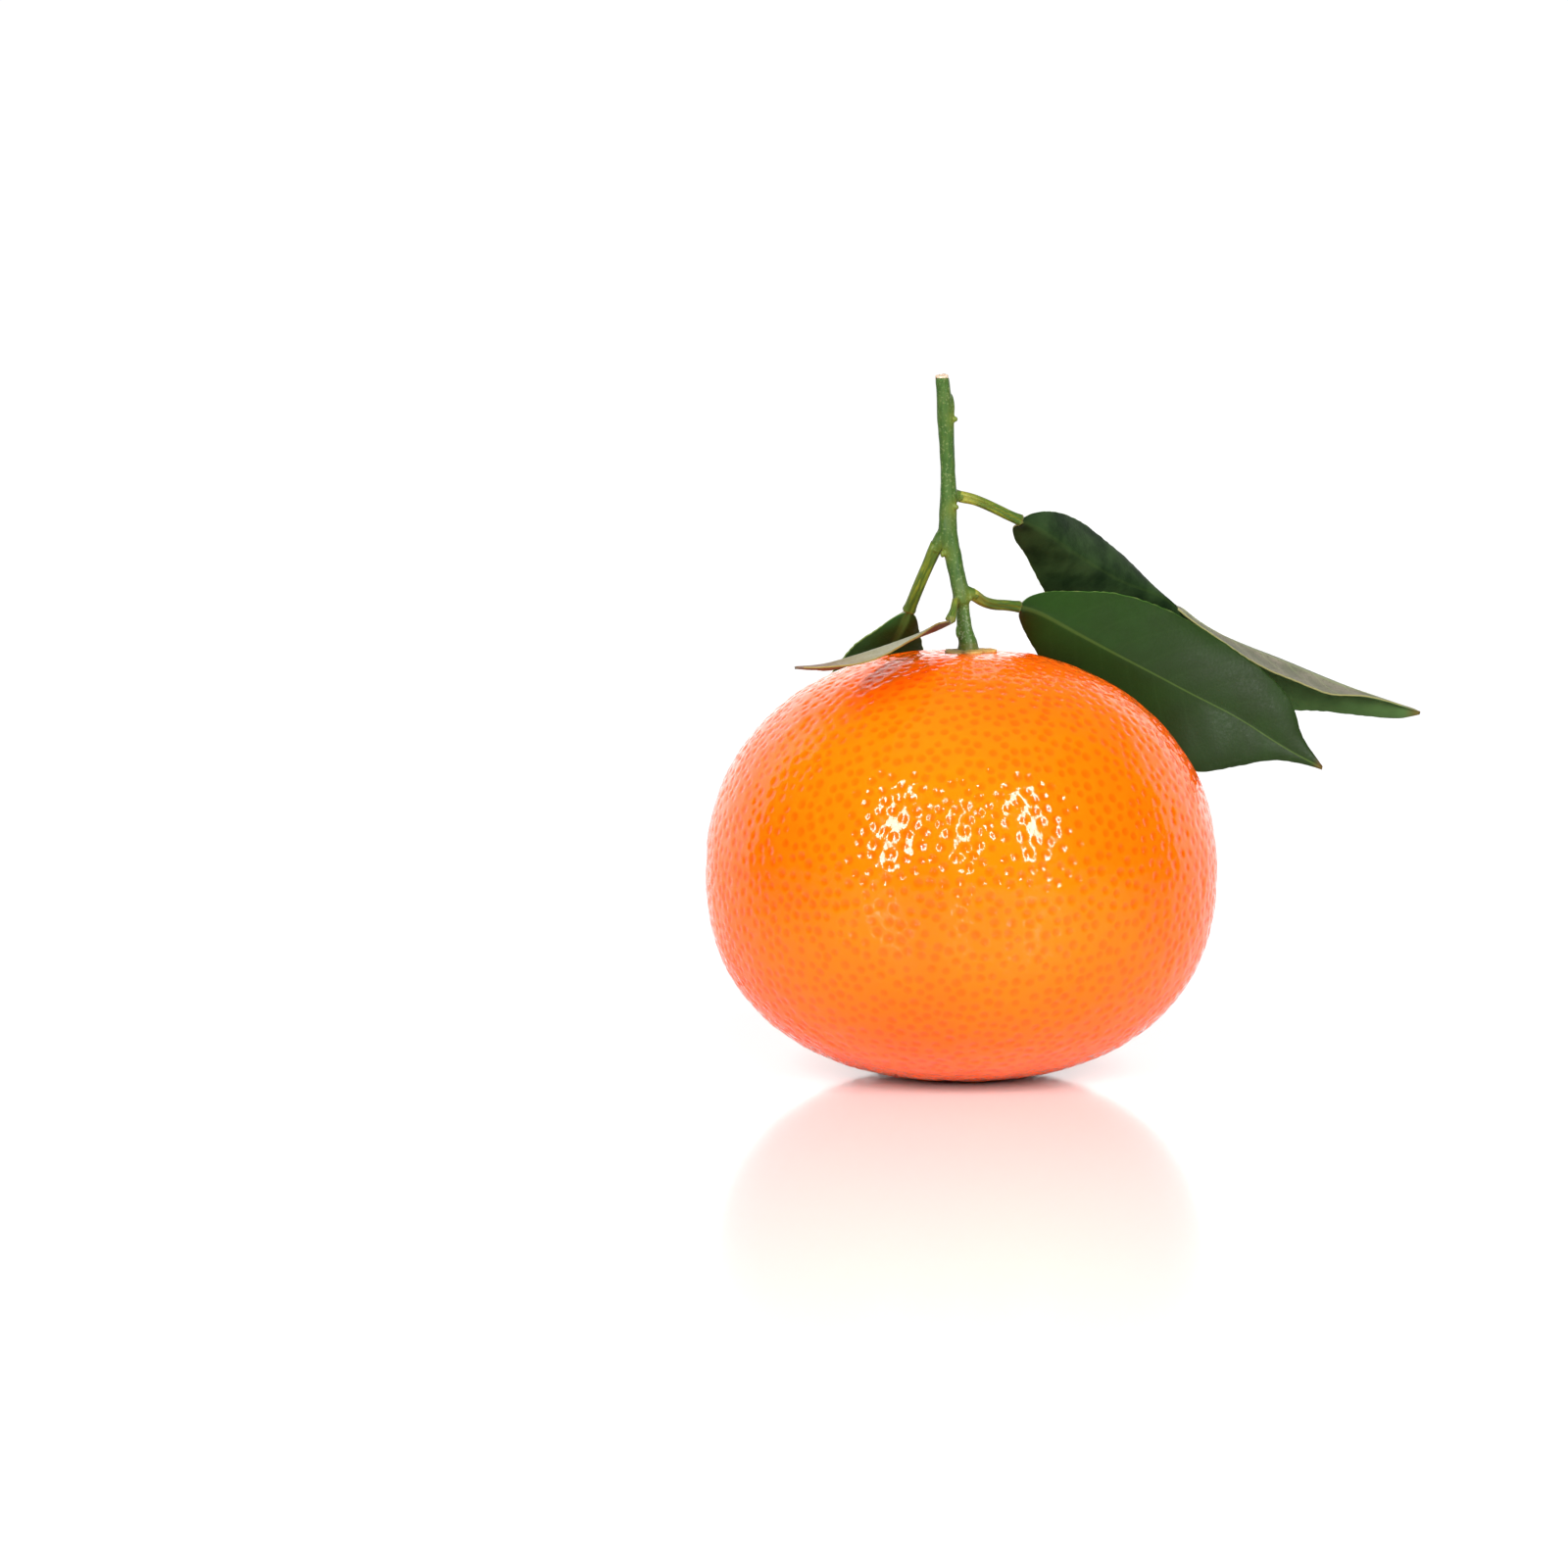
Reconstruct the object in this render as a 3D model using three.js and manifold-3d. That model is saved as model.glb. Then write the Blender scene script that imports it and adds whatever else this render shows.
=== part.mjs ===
// A mandarin picked with its twig: one whole fruit resting on a small flat spot, its calyx,
// the cut green twig that stands on it, and the twig's four leaves. Millimetres, +Z up.
// The origin is the centre of the flat spot that the fruit rests on.
import * as THREE from 'three';
import { mergeVertices } from 'three/addons/utils/BufferGeometryUtils.js';
import Module from 'manifold-3d';

const wasm = await Module();
wasm.setup();

// Fruit
const FRUIT_RADIUS = 32;
const FRUIT_EQUATOR_Z = 25.9;
const FRUIT_UPPER = { height: 27.7, power: 2.15 };
const FRUIT_LOWER = { height: 26.3, power: 2.3 };
const STEM_DIMPLE = { depth: 0.7, radius: 5 };
const PEEL_UNEVENNESS = 0.2;
const THREEFOLD_SWELL_PHASE = 0.6;
const TWOFOLD_SWELL_PHASE = -1.1;
const GLAND_PIT_DEPTH = 0.2;
const GLAND_PIT_SPREAD = 0.3;
const GLAND_SEED = 7;
const GEODESIC_FREQUENCY = 18; // a multiple of three, so that every third lattice point is a pit
const PEEL_COLOUR = 0xff8c00;

// Calyx: the thin lobed disc between peel and stem. It thins towards its rim, and a twofold wave
// makes its lobes unequal.
const CALYX = { x: 1.0, y: 0.1, radius: 3.1, lobes: 5, lobeDepth: 0.3, thickness: 0.75, seat: 0.3 };
const CALYX_THINNING = 0.45;
const CALYX_UNEQUAL_LOBES = 0.5;
const CALYX_RINGS = 4;
const CALYX_SECTORS = 30;
const CALYX_COLOUR = 0xb98a3c;

// Twig: points of its centre line from the fruit up to the cut end, each with its radius
const TWIG_STATIONS = [
  [0.9, 0.0, 54.2, 1.15],
  [0.6, 0.0, 55.2, 0.88],
  [0.3, 0.0, 56.8, 0.85],
  [0.2, 0.0, 58.9, 0.9],
  [0.1, 0.0, 59.5, 1.02],
  [0.0, 0.0, 60.3, 1.0],
  [-0.4, 0.2, 62.1, 1.0],
  [-1.0, 0.4, 64.9, 1.05],
  [-1.6, 0.5, 67.6, 1.15],
  [-1.65, 0.5, 69.8, 1.05],
  [-1.6, 0.3, 72.2, 1.05],
  [-1.65, 0.2, 74.5, 0.92],
  [-1.8, 0.0, 78.0, 0.92],
  [-2.0, -0.3, 81.6, 1.03],
  [-2.2, -0.6, 84.5, 0.9],
  [-2.5, -1.0, 87.5, 0.8],
];
const TWIG_SIDES = 12;
const TWIG_STEPS = 42;
const TWIG_FRONT = [0, -1, 0];
const TWIG_COLOUR = 0x587837;

// Buds and leaf scars that stand out of the twig: place and half sizes
const TWIG_BUDS = [
  { at: [-0.75, 0.1, 71.2], size: [0.42, 0.4, 0.5] },
  { at: [-2.25, 0.3, 65.5], size: [0.42, 0.4, 0.5] },
  { at: [0.85, -0.2, 59.7], size: [0.4, 0.42, 0.45] },
  { at: [-1.35, -0.4, 82.6], size: [0.5, 0.55, 1.5] },
  { at: [-0.85, -0.5, 81.9], size: [0.35, 0.35, 0.42] },
  { at: [-0.45, -0.5, 55.6], size: [0.35, 0.35, 0.8] },
];
const BUD_SECTORS = 10;
const BUD_RINGS = 6;

// Leaves: hand-placed points of the stalk, the midrib and the two edges of each blade. Left and
// right are as seen on the blade's upper face with the tip pointing away.
const LEAVES = [
  {
    name: 'leaf_upper_right',
    colour: 0x2c3f1e,
    root: [-1.6, 0.4, 72.6],
    stalk: [[0.2, 1.0, 72.2], [1.5, 1.3, 71.9], [2.8, 1.8, 71.4], [4.5, 2.6, 70.6], [6.1, 3.4, 69.8],
      [7.7, 4.2, 69.1]],
    rib: [[7.7, 4.2, 69.1], [10.2, 6.8, 67.8], [15.1, 12.0, 64.4], [21.2, 18.5, 60.7], [26.4, 23.0, 58.5],
      [31.7, 27.0, 55.5], [36.6, 29.5, 52.8], [42.9, 32.0, 49.9], [50.8, 34.0, 46.5], [61.2, 35.5, 42.6]],
    left: [[7.7, 4.2, 69.5], [9.3, 6.5, 70.1], [12.3, 10.5, 70.0], [15.7, 15.0, 68.5], [19.2, 18.5, 65.8],
      [22.8, 22.0, 62.6], [26.4, 24.0, 59.0], [29.6, 24.7, 56.2], [33.2, 24.5, 53.5], [38.3, 25.5, 50.1],
      [43.3, 27.0, 47.7], [48.7, 29.5, 45.5], [54.5, 32.5, 44.9], [61.2, 35.5, 42.9]],
    right: [[7.7, 4.2, 68.7], [6.6, 5.5, 68.3], [6.8, 7.5, 66.8], [8.2, 10.0, 64.7], [11.1, 15.5, 59.5],
      [14.6, 20.5, 55.2], [20.3, 25.5, 50.9], [27.5, 29.0, 47.0], [34.7, 32.0, 44.5], [41.8, 33.5, 43.2],
      [48.4, 35.0, 42.8], [54.2, 36.0, 42.1], [58.5, 36.0, 41.8], [61.1, 35.5, 42.3]],
  },
  {
    name: 'leaf_front_right',
    colour: 0x3a5226,
    root: [0.0, 0.0, 60.9],
    stalk: [[1.8, 0.8, 60.1], [2.9, 2.2, 59.2], [4.2, 3.6, 58.7], [5.7, 5.4, 58.5], [7.6, 7.0, 58.2]],
    rib: [[7.6, 7.0, 58.2], [10.3, 9.5, 57.2], [15.1, 13.0, 54.5], [20.2, 15.5, 51.7], [25.6, 17.5, 48.8],
      [29.8, 18.7, 46.5], [36.0, 20.0, 43.2], [42.3, 21.0, 39.2], [47.1, 21.5, 36.6]],
    left: [[7.6, 7.0, 58.6], [8.9, 8.5, 59.5], [11.3, 10.5, 60.0], [15.0, 13.0, 59.9], [20.2, 15.8, 59.5],
      [25.6, 18.2, 57.8], [30.7, 20.0, 55.2], [35.9, 21.0, 51.8], [40.7, 21.6, 48.1], [43.2, 21.8, 45.0],
      [44.6, 21.7, 40.8], [47.2, 21.5, 36.9]],
    right: [[7.6, 7.0, 57.8], [7.5, 9.0, 56.7], [8.3, 11.5, 54.8], [10.0, 14.0, 51.9], [12.7, 18.2, 48.1],
      [16.1, 20.8, 44.7], [20.2, 21.2, 41.6], [24.7, 20.2, 39.0], [28.7, 18.6, 36.8], [31.6, 18.5, 36.3],
      [35.9, 19.5, 36.9], [40.8, 20.6, 37.6], [44.7, 21.3, 37.0], [47.1, 21.5, 36.3]],
  },
  {
    name: 'leaf_back_left',
    colour: 0x33401a,
    root: [-1.2, 0.5, 67.6],
    stalk: [[-3.4, 1.1, 65.4], [-4.0, 1.7, 63.9], [-4.7, 2.6, 62.1], [-5.4, 3.6, 60.3], [-6.4, 5.5, 57.7]],
    rib: [[-6.4, 5.5, 57.7], [-7.1, 8.5, 55.7], [-8.0, 13.0, 53.6], [-8.8, 20.0, 50.2], [-9.8, 27.0, 45.4],
      [-11.0, 33.0, 38.0], [-12.0, 37.0, 29.3]],
    left: [[-6.0, 5.5, 57.7], [-5.3, 7.0, 56.8], [-4.8, 10.0, 55.2], [-3.9, 14.0, 53.2], [-3.0, 20.5, 50.0],
      [-2.9, 27.5, 45.2], [-5.4, 34.0, 37.3], [-11.7, 37.0, 29.2]],
    right: [[-6.8, 5.5, 57.7], [-8.0, 7.0, 57.1], [-10.6, 10.5, 55.0], [-13.4, 15.0, 52.6],
      [-15.9, 21.0, 49.0], [-17.3, 28.0, 43.9], [-16.0, 34.0, 36.5], [-12.3, 37.0, 29.2]],
  },
  {
    name: 'leaf_front_left',
    colour: 0x8a8a66,
    root: [0.0, 0.0, 59.9],
    stalk: [[-1.0, -1.8, 58.8], [-1.1, -2.4, 58.1], [-1.4, -3.2, 57.1]],
    rib: [[-1.4, -3.2, 57.1], [-3.3, -6.0, 56.4], [-6.4, -10.5, 55.5], [-10.1, -15.0, 54.5],
      [-13.9, -19.5, 53.6], [-17.5, -23.0, 52.9], [-20.6, -26.0, 52.9]],
    left: [[-1.1, -3.3, 57.3], [-2.0, -6.5, 57.3], [-3.7, -11.5, 56.9], [-6.2, -17.0, 56.3],
      [-9.5, -21.5, 55.3], [-13.8, -25.0, 54.0], [-17.5, -26.5, 53.3], [-20.4, -26.2, 53.0]],
    right: [[-1.7, -3.1, 56.9], [-3.8, -3.6, 55.7], [-7.4, -5.5, 54.2], [-10.8, -8.5, 53.0],
      [-14.1, -13.0, 52.2], [-16.9, -18.5, 52.1], [-18.9, -23.0, 52.4], [-20.8, -25.8, 52.8]],
  },
];
const BLADE_THICKNESS = 0.6;
const BLADE_STATION_STEP = 1.5;
const BLADE_ACROSS = [-1, -0.66, -0.34, -0.1, 0, 0.1, 0.34, 0.66, 1];
const BLADE_BELLY = 0.04; // how far each half swells between rib and edge, as a share of its width
const RIB_HEIGHT = 0.45;
const RIB_HALF_WIDTH = 0.12;
const RIB_TAPER = 0.7; // the share of the rib's height that is lost by the tip
const BLADE_START_ROW = 2; // the row of the blade that the stalk's rings line up with
const STALK_RADIUS = 0.66;
const STALK_STEPS = 8;
const CUSHION_RADIUS = 0.8;
const CUSHION_BEND = 0.6;
const CUSHION_STEPS = 4;
const CUSHION_FRONT = [0, -1, 0.2];
const TOUCHING_GAP = 0.3;

const SURFACE_ROUGHNESS = 0.45;
const WELD_DISTANCE = 1e-5;
const RANDOM_MULTIPLIER = 48271;
const RANDOM_MODULUS = 2147483647;

// A repeatable stream of numbers from 0 to 1
function seededRandom(seed) {
  let state = seed;
  return () => {
    state = (state * RANDOM_MULTIPLIER) % RANDOM_MODULUS;
    return state / RANDOM_MODULUS;
  };
}

function vector(point) {
  return new THREE.Vector3(point[0], point[1], point[2]);
}

function smoothCurve(points) {
  return new THREE.CatmullRomCurve3(points.map(vector), false, 'centripetal');
}

// Triangles between rings of equal length, closed by a fan over each end
function solidFromRings(rings) {
  const sides = rings[0].length;
  const points = rings.flat();
  const faces = [];
  for (let ring = 0; ring < rings.length - 1; ring += 1) {
    for (let side = 0; side < sides; side += 1) {
      const next = (side + 1) % sides;
      const low = ring * sides;
      const high = low + sides;
      faces.push([low + side, low + next, high + next], [low + side, high + next, high + side]);
    }
  }
  const last = (rings.length - 1) * sides;
  for (let side = 1; side < sides - 1; side += 1) {
    faces.push([0, side + 1, side], [last, last + side, last + side + 1]);
  }
  return geometryFrom(points, faces);
}

// Faces that would point inwards are turned round as a whole
function geometryFrom(points, faces) {
  let volume = 0;
  for (const [a, b, c] of faces) {
    volume += points[a].dot(points[b].clone().cross(points[c]));
  }
  const ordered = volume < 0 ? faces.map(([a, b, c]) => [a, c, b]) : faces;
  const geometry = new THREE.BufferGeometry();
  geometry.setAttribute('position', new THREE.Float32BufferAttribute(points.flatMap((p) => p.toArray()), 3));
  geometry.setIndex(ordered.flat());
  return geometry;
}

function toManifold(geometry) {
  const bare = geometry.clone();
  bare.deleteAttribute('normal');
  bare.deleteAttribute('uv');
  const merged = mergeVertices(bare, WELD_DISTANCE);
  return new wasm.Manifold(new wasm.Mesh({
    numProp: 3,
    vertProperties: new Float32Array(merged.attributes.position.array),
    triVerts: new Uint32Array(merged.index.array),
  }));
}

function fromManifold(solid) {
  const mesh = solid.getMesh();
  const geometry = new THREE.BufferGeometry();
  geometry.setAttribute('position', new THREE.BufferAttribute(new Float32Array(mesh.vertProperties), 3));
  geometry.setIndex(new THREE.BufferAttribute(new Uint32Array(mesh.triVerts), 1));
  return geometry;
}

// The peel without its pits: a flattened ball, fuller below than above, with a dimple at the stem
function peelPoint(direction) {
  const half = direction.z > 0 ? FRUIT_UPPER : FRUIT_LOWER;
  const level = Math.hypot(direction.x, direction.y);
  const size = (level / FRUIT_RADIUS) ** half.power + (Math.abs(direction.z) / half.height) ** half.power;
  const reach = size ** (-1 / half.power);
  const turn = Math.atan2(direction.y, direction.x);
  const threefold = Math.sin(3 * turn + THREEFOLD_SWELL_PHASE);
  const twofold = Math.sin(2 * turn + TWOFOLD_SWELL_PHASE);
  const swell = threefold * level + twofold * direction.z;
  const point = direction.clone().multiplyScalar(reach + PEEL_UNEVENNESS * swell * level);
  if (direction.z > 0) {
    point.z -= STEM_DIMPLE.depth * Math.exp(-((Math.hypot(point.x, point.y) / STEM_DIMPLE.radius) ** 2));
  }
  return point;
}

// Points of a twenty-sided ball whose faces are split into a lattice, every third one a gland pit
function glandLattice(frequency) {
  const corners = new THREE.IcosahedronGeometry(1, 0).attributes.position;
  const points = [];
  const faces = [];
  for (let face = 0; face < corners.count / 3; face += 1) {
    const [a, b, c] = [0, 1, 2].map((k) => new THREE.Vector3().fromBufferAttribute(corners, face * 3 + k));
    const index = [];
    for (let i = 0; i <= frequency; i += 1) {
      index.push([]);
      for (let j = 0; j <= frequency - i; j += 1) {
        const k = frequency - i - j;
        const sum = a.clone().multiplyScalar(k).addScaledVector(b, i).addScaledVector(c, j);
        index[i].push(points.length);
        points.push({ direction: sum.normalize(), pit: (i - j + frequency) % 3 === 0 });
      }
    }
    for (let i = 0; i < frequency; i += 1) {
      for (let j = 0; j < frequency - i; j += 1) {
        faces.push([index[i][j], index[i + 1][j], index[i][j + 1]]);
        if (j < frequency - i - 1) {
          faces.push([index[i + 1][j], index[i + 1][j + 1], index[i][j + 1]]);
        }
      }
    }
  }
  return { points, faces };
}

function fruitGeometry() {
  const { points, faces } = glandLattice(GEODESIC_FREQUENCY);
  const depths = new Map();
  const random = seededRandom(GLAND_SEED);
  const placed = points.map(({ direction, pit }) => {
    const key = direction.toArray().map((value) => Math.round(value * 1e4)).join();
    if (!depths.has(key)) {
      const depth = GLAND_PIT_DEPTH * (1 + GLAND_PIT_SPREAD * (2 * random() - 1));
      depths.set(key, pit ? depth : 0);
    }
    const point = peelPoint(direction).addScaledVector(direction, -depths.get(key));
    point.z += FRUIT_EQUATOR_Z;
    return point;
  });
  const roomAbove = 4 * FRUIT_RADIUS;
  const above = new THREE.BoxGeometry(roomAbove, roomAbove, roomAbove).translate(0, 0, roomAbove / 2);
  return fromManifold(toManifold(geometryFrom(placed, faces)).intersect(toManifold(above)));
}

// The height of the peel over a point near the stem end
function peelHeight(x, y) {
  const level = Math.hypot(x, y);
  const share = (level / FRUIT_RADIUS) ** FRUIT_UPPER.power;
  const crown = FRUIT_UPPER.height * (1 - share) ** (1 / FRUIT_UPPER.power);
  return FRUIT_EQUATOR_Z + crown - STEM_DIMPLE.depth * Math.exp(-((level / STEM_DIMPLE.radius) ** 2));
}

function calyxGeometry() {
  const points = [];
  const faces = [];
  const addPoint = (share, turn, top) => {
    const wave = Math.cos(CALYX.lobes * turn) + CALYX_UNEQUAL_LOBES * Math.sin(2 * turn);
    const reach = (CALYX.radius + CALYX.lobeDepth * wave) * share;
    const x = CALYX.x + reach * Math.cos(turn);
    const y = CALYX.y + reach * Math.sin(turn);
    const height = CALYX.thickness * (1 - CALYX_THINNING * share ** 2);
    points.push(new THREE.Vector3(x, y, peelHeight(x, y) + CALYX.seat + (top ? height : 0)));
    return points.length - 1;
  };
  const sheets = [true, false].map((top) => {
    const rows = [];
    const middle = addPoint(0, 0, top);
    for (let ring = 1; ring <= CALYX_RINGS; ring += 1) {
      rows.push([]);
      for (let sector = 0; sector < CALYX_SECTORS; sector += 1) {
        rows[ring - 1].push(addPoint(ring / CALYX_RINGS, (2 * Math.PI * sector) / CALYX_SECTORS, top));
      }
    }
    return { middle, rows };
  });
  const addFace = (a, b, c, top) => faces.push(top ? [a, b, c] : [a, c, b]);
  sheets.forEach(({ middle, rows }, sheet) => {
    const top = sheet === 0;
    for (let sector = 0; sector < CALYX_SECTORS; sector += 1) {
      const next = (sector + 1) % CALYX_SECTORS;
      addFace(middle, rows[0][sector], rows[0][next], top);
      for (let ring = 0; ring < CALYX_RINGS - 1; ring += 1) {
        addFace(rows[ring][sector], rows[ring + 1][sector], rows[ring + 1][next], top);
        addFace(rows[ring][sector], rows[ring + 1][next], rows[ring][next], top);
      }
    }
  });
  const topEdge = sheets[0].rows[CALYX_RINGS - 1];
  const bottomEdge = sheets[1].rows[CALYX_RINGS - 1];
  for (let sector = 0; sector < CALYX_SECTORS; sector += 1) {
    const next = (sector + 1) % CALYX_SECTORS;
    faces.push([bottomEdge[sector], bottomEdge[next], topEdge[next]]);
    faces.push([bottomEdge[sector], topEdge[next], topEdge[sector]]);
  }
  return geometryFrom(points, faces);
}

// A ring of points round a centre, square to a direction, with its first point along `across`
function roundRing(centre, tangent, across, radius, sides) {
  const side = across.clone().addScaledVector(tangent, -across.dot(tangent)).normalize();
  const other = new THREE.Vector3().crossVectors(tangent, side);
  return Array.from({ length: sides }, (unused, k) => {
    const turn = (2 * Math.PI * k) / sides;
    return centre.clone()
      .addScaledVector(side, radius * Math.cos(turn))
      .addScaledVector(other, radius * Math.sin(turn));
  });
}

function stemTube() {
  const curve = smoothCurve(TWIG_STATIONS);
  const radii = new THREE.CatmullRomCurve3(TWIG_STATIONS.map(([, , z, radius]) => vector([z, radius, 0])));
  const front = vector(TWIG_FRONT);
  const rings = [];
  for (let step = 0; step <= TWIG_STEPS; step += 1) {
    const share = step / TWIG_STEPS;
    const radius = radii.getPoint(share).y;
    rings.push(roundRing(curve.getPoint(share), curve.getTangent(share), front, radius, TWIG_SIDES));
  }
  return solidFromRings(rings);
}

// The short cushion on the twig that a leaf stalk grows from, ending just short of the stalk
function cushion(leaf) {
  const root = vector(leaf.root);
  const start = vector(leaf.stalk[0]);
  const tangent = vector(leaf.stalk[1]).sub(start).normalize();
  const end = start.clone().addScaledVector(tangent, -TOUCHING_GAP);
  const bend = end.clone().addScaledVector(tangent, -CUSHION_BEND);
  const curve = new THREE.QuadraticBezierCurve3(root, bend, end);
  const front = vector(CUSHION_FRONT);
  const rings = [];
  for (let step = 0; step <= CUSHION_STEPS; step += 1) {
    const share = step / CUSHION_STEPS;
    const radius = THREE.MathUtils.lerp(CUSHION_RADIUS, STALK_RADIUS, share);
    rings.push(roundRing(curve.getPoint(share), curve.getTangent(share), front, radius, TWIG_SIDES));
  }
  return solidFromRings(rings);
}

function bud({ at, size }) {
  return new THREE.SphereGeometry(1, BUD_SECTORS, BUD_RINGS).scale(...size).translate(...at);
}

function twigGeometry() {
  let twig = toManifold(stemTube());
  for (const leaf of LEAVES) {
    twig = twig.add(toManifold(cushion(leaf)));
  }
  for (const swelling of TWIG_BUDS) {
    twig = twig.add(toManifold(bud(swelling)));
  }
  return fromManifold(twig);
}

// A grid of points over the blade's middle sheet, from stalk to tip and from edge to edge
function bladeSheet(leaf) {
  const rib = smoothCurve(leaf.rib);
  const left = smoothCurve(leaf.left);
  const right = smoothCurve(leaf.right);
  const stations = Math.round(rib.getLength() / BLADE_STATION_STEP);
  const rows = [];
  for (let station = 0; station <= stations; station += 1) {
    const share = station / stations;
    const middle = rib.getPointAt(share);
    const edges = [left.getPointAt(share), right.getPointAt(share)];
    rows.push(BLADE_ACROSS.map((across) => middle.clone().lerp(edges[across > 0 ? 1 : 0], Math.abs(across))));
  }
  return rows;
}

function sheetNormals(rows) {
  return rows.map((row, i) => row.map((unused, j) => {
    const along = rows[Math.min(i + 1, rows.length - 1)][j].clone().sub(rows[Math.max(i - 1, 0)][j]);
    const across = row[Math.min(j + 1, row.length - 1)].clone().sub(row[Math.max(j - 1, 0)]);
    return across.cross(along).normalize();
  }));
}

// Both faces take the same grid, so the blade's two sides are split into triangles alike
function leafGeometry(leaf) {
  const sheet = bladeSheet(leaf);
  const normals = sheetNormals(sheet);
  const half = BLADE_THICKNESS / 2;
  const blade = sheet.map((row, i) => {
    const share = i / (sheet.length - 1);
    const width = row[0].distanceTo(row[row.length - 1]) / 2;
    const faces = row.map((point, j) => {
      const across = BLADE_ACROSS[j];
      const belly = BLADE_BELLY * width * 4 * Math.abs(across) * (1 - Math.abs(across));
      const rib = RIB_HEIGHT * (1 - RIB_TAPER * share) * Math.exp(-((across / RIB_HALF_WIDTH) ** 2));
      return {
        top: point.clone().addScaledVector(normals[i][j], half + belly),
        bottom: point.clone().addScaledVector(normals[i][j], -half + belly - rib),
      };
    });
    return [...faces.map((face) => face.top), ...faces.map((face) => face.bottom).reverse()];
  });
  const midrib = BLADE_ACROSS.indexOf(0);
  const stalk = stalkRings(leaf, sheet[BLADE_START_ROW], normals[BLADE_START_ROW][midrib]);
  return solidFromRings([...stalk, ...blade]);
}

// Rings of the stalk with as many points as the blade's outline, laid the same way round
function stalkRings(leaf, bladeRow, bladeNormal) {
  const curve = smoothCurve(leaf.stalk);
  const count = BLADE_ACROSS.length;
  const acrossBlade = bladeRow[count - 1].clone().sub(bladeRow[0]).normalize();
  const rings = [];
  for (let step = 0; step < STALK_STEPS; step += 1) {
    const share = step / STALK_STEPS;
    const tangent = curve.getTangentAt(share);
    const side = acrossBlade.clone().addScaledVector(tangent, -acrossBlade.dot(tangent)).normalize();
    const up = new THREE.Vector3().crossVectors(side, tangent);
    if (up.dot(bladeNormal) < 0) {
      up.negate();
    }
    const centre = curve.getPointAt(share);
    rings.push(Array.from({ length: 2 * count }, (unused, k) => {
      const turn = Math.PI - (Math.PI * (k + 0.5)) / count;
      return centre.clone()
        .addScaledVector(side, STALK_RADIUS * Math.cos(turn))
        .addScaledVector(up, STALK_RADIUS * Math.sin(turn));
    }));
  }
  return rings;
}

function namedMesh(name, geometry, colour) {
  geometry.computeVertexNormals();
  const material = new THREE.MeshStandardMaterial({ color: colour, roughness: SURFACE_ROUGHNESS });
  material.name = name;
  const mesh = new THREE.Mesh(geometry, material);
  mesh.name = name;
  return mesh;
}

const mandarin = new THREE.Group();
mandarin.add(namedMesh('fruit', fruitGeometry(), PEEL_COLOUR));
mandarin.add(namedMesh('calyx', calyxGeometry(), CALYX_COLOUR));
mandarin.add(namedMesh('twig', twigGeometry(), TWIG_COLOUR));
for (const leaf of LEAVES) {
  mandarin.add(namedMesh(leaf.name, leafGeometry(leaf), leaf.colour));
}

export default mandarin;
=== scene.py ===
import math

import bpy
import numpy as np
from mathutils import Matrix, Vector, kdtree, noise


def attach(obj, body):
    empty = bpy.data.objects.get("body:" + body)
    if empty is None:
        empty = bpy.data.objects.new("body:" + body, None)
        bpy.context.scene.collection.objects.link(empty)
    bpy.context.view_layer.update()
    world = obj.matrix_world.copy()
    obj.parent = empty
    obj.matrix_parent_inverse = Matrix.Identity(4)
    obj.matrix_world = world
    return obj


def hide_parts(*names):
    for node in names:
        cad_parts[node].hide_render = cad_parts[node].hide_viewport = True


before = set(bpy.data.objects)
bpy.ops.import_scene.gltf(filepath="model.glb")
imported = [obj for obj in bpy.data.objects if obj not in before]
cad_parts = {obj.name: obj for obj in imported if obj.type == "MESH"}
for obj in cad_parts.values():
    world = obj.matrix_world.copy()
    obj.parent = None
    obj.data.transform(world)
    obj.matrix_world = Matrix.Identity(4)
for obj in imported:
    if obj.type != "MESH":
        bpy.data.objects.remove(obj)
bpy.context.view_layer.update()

MM = 0.001

# Camera: the photograph's view, as a long lens that looks slightly down
CAMERA_DISTANCE = 700.0
CAMERA_PITCH = math.radians(5.2)
CAMERA_AIM = (-22.0, 0.0, 36.5)
FRAME_WIDTH_AT_FRUIT = 195.4
SENSOR_WIDTH = 36.0

# Light: a low white wall behind, a dark room in front, three upright soft boxes before the fruit and
# a weak one above and behind. A box is its azimuth and height in degrees, its width and its length
# in millimetres and its power in watts.
WALL_STRENGTH = 1.6
ROOM_SHARE, ABOVE_SHARE, SEEN_SHARE = 0.012, 0.12, 0.66
LEFT_WALL_LIFT = 0.35
SOFT_BOX_DISTANCE = 1000.0
SOFT_BOXES = {
    "left_soft_box": (-34.0, 25.5, 120.0, 620.0, 11.0),
    "middle_soft_box": (0.0, 25.5, 60.0, 620.0, 5.5),
    "right_soft_box": (34.0, 26.5, 120.0, 620.0, 11.0),
    "upper_soft_box": (180.0, 43.0, 500.0, 300.0, 0.5),
}

# Fruit, in millimetres: the same driving sizes as the solid
FRUIT_RADIUS = 32.0
FRUIT_EQUATOR_Z = 25.9
UPPER_HEIGHT, UPPER_POWER = 27.7, 2.15
LOWER_HEIGHT, LOWER_POWER = 26.3, 2.3
DIMPLE_DEPTH, DIMPLE_RADIUS = 0.7, 5.0
PEEL_UNEVENNESS = 0.2
GEODESIC_FREQUENCY = 96

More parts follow.
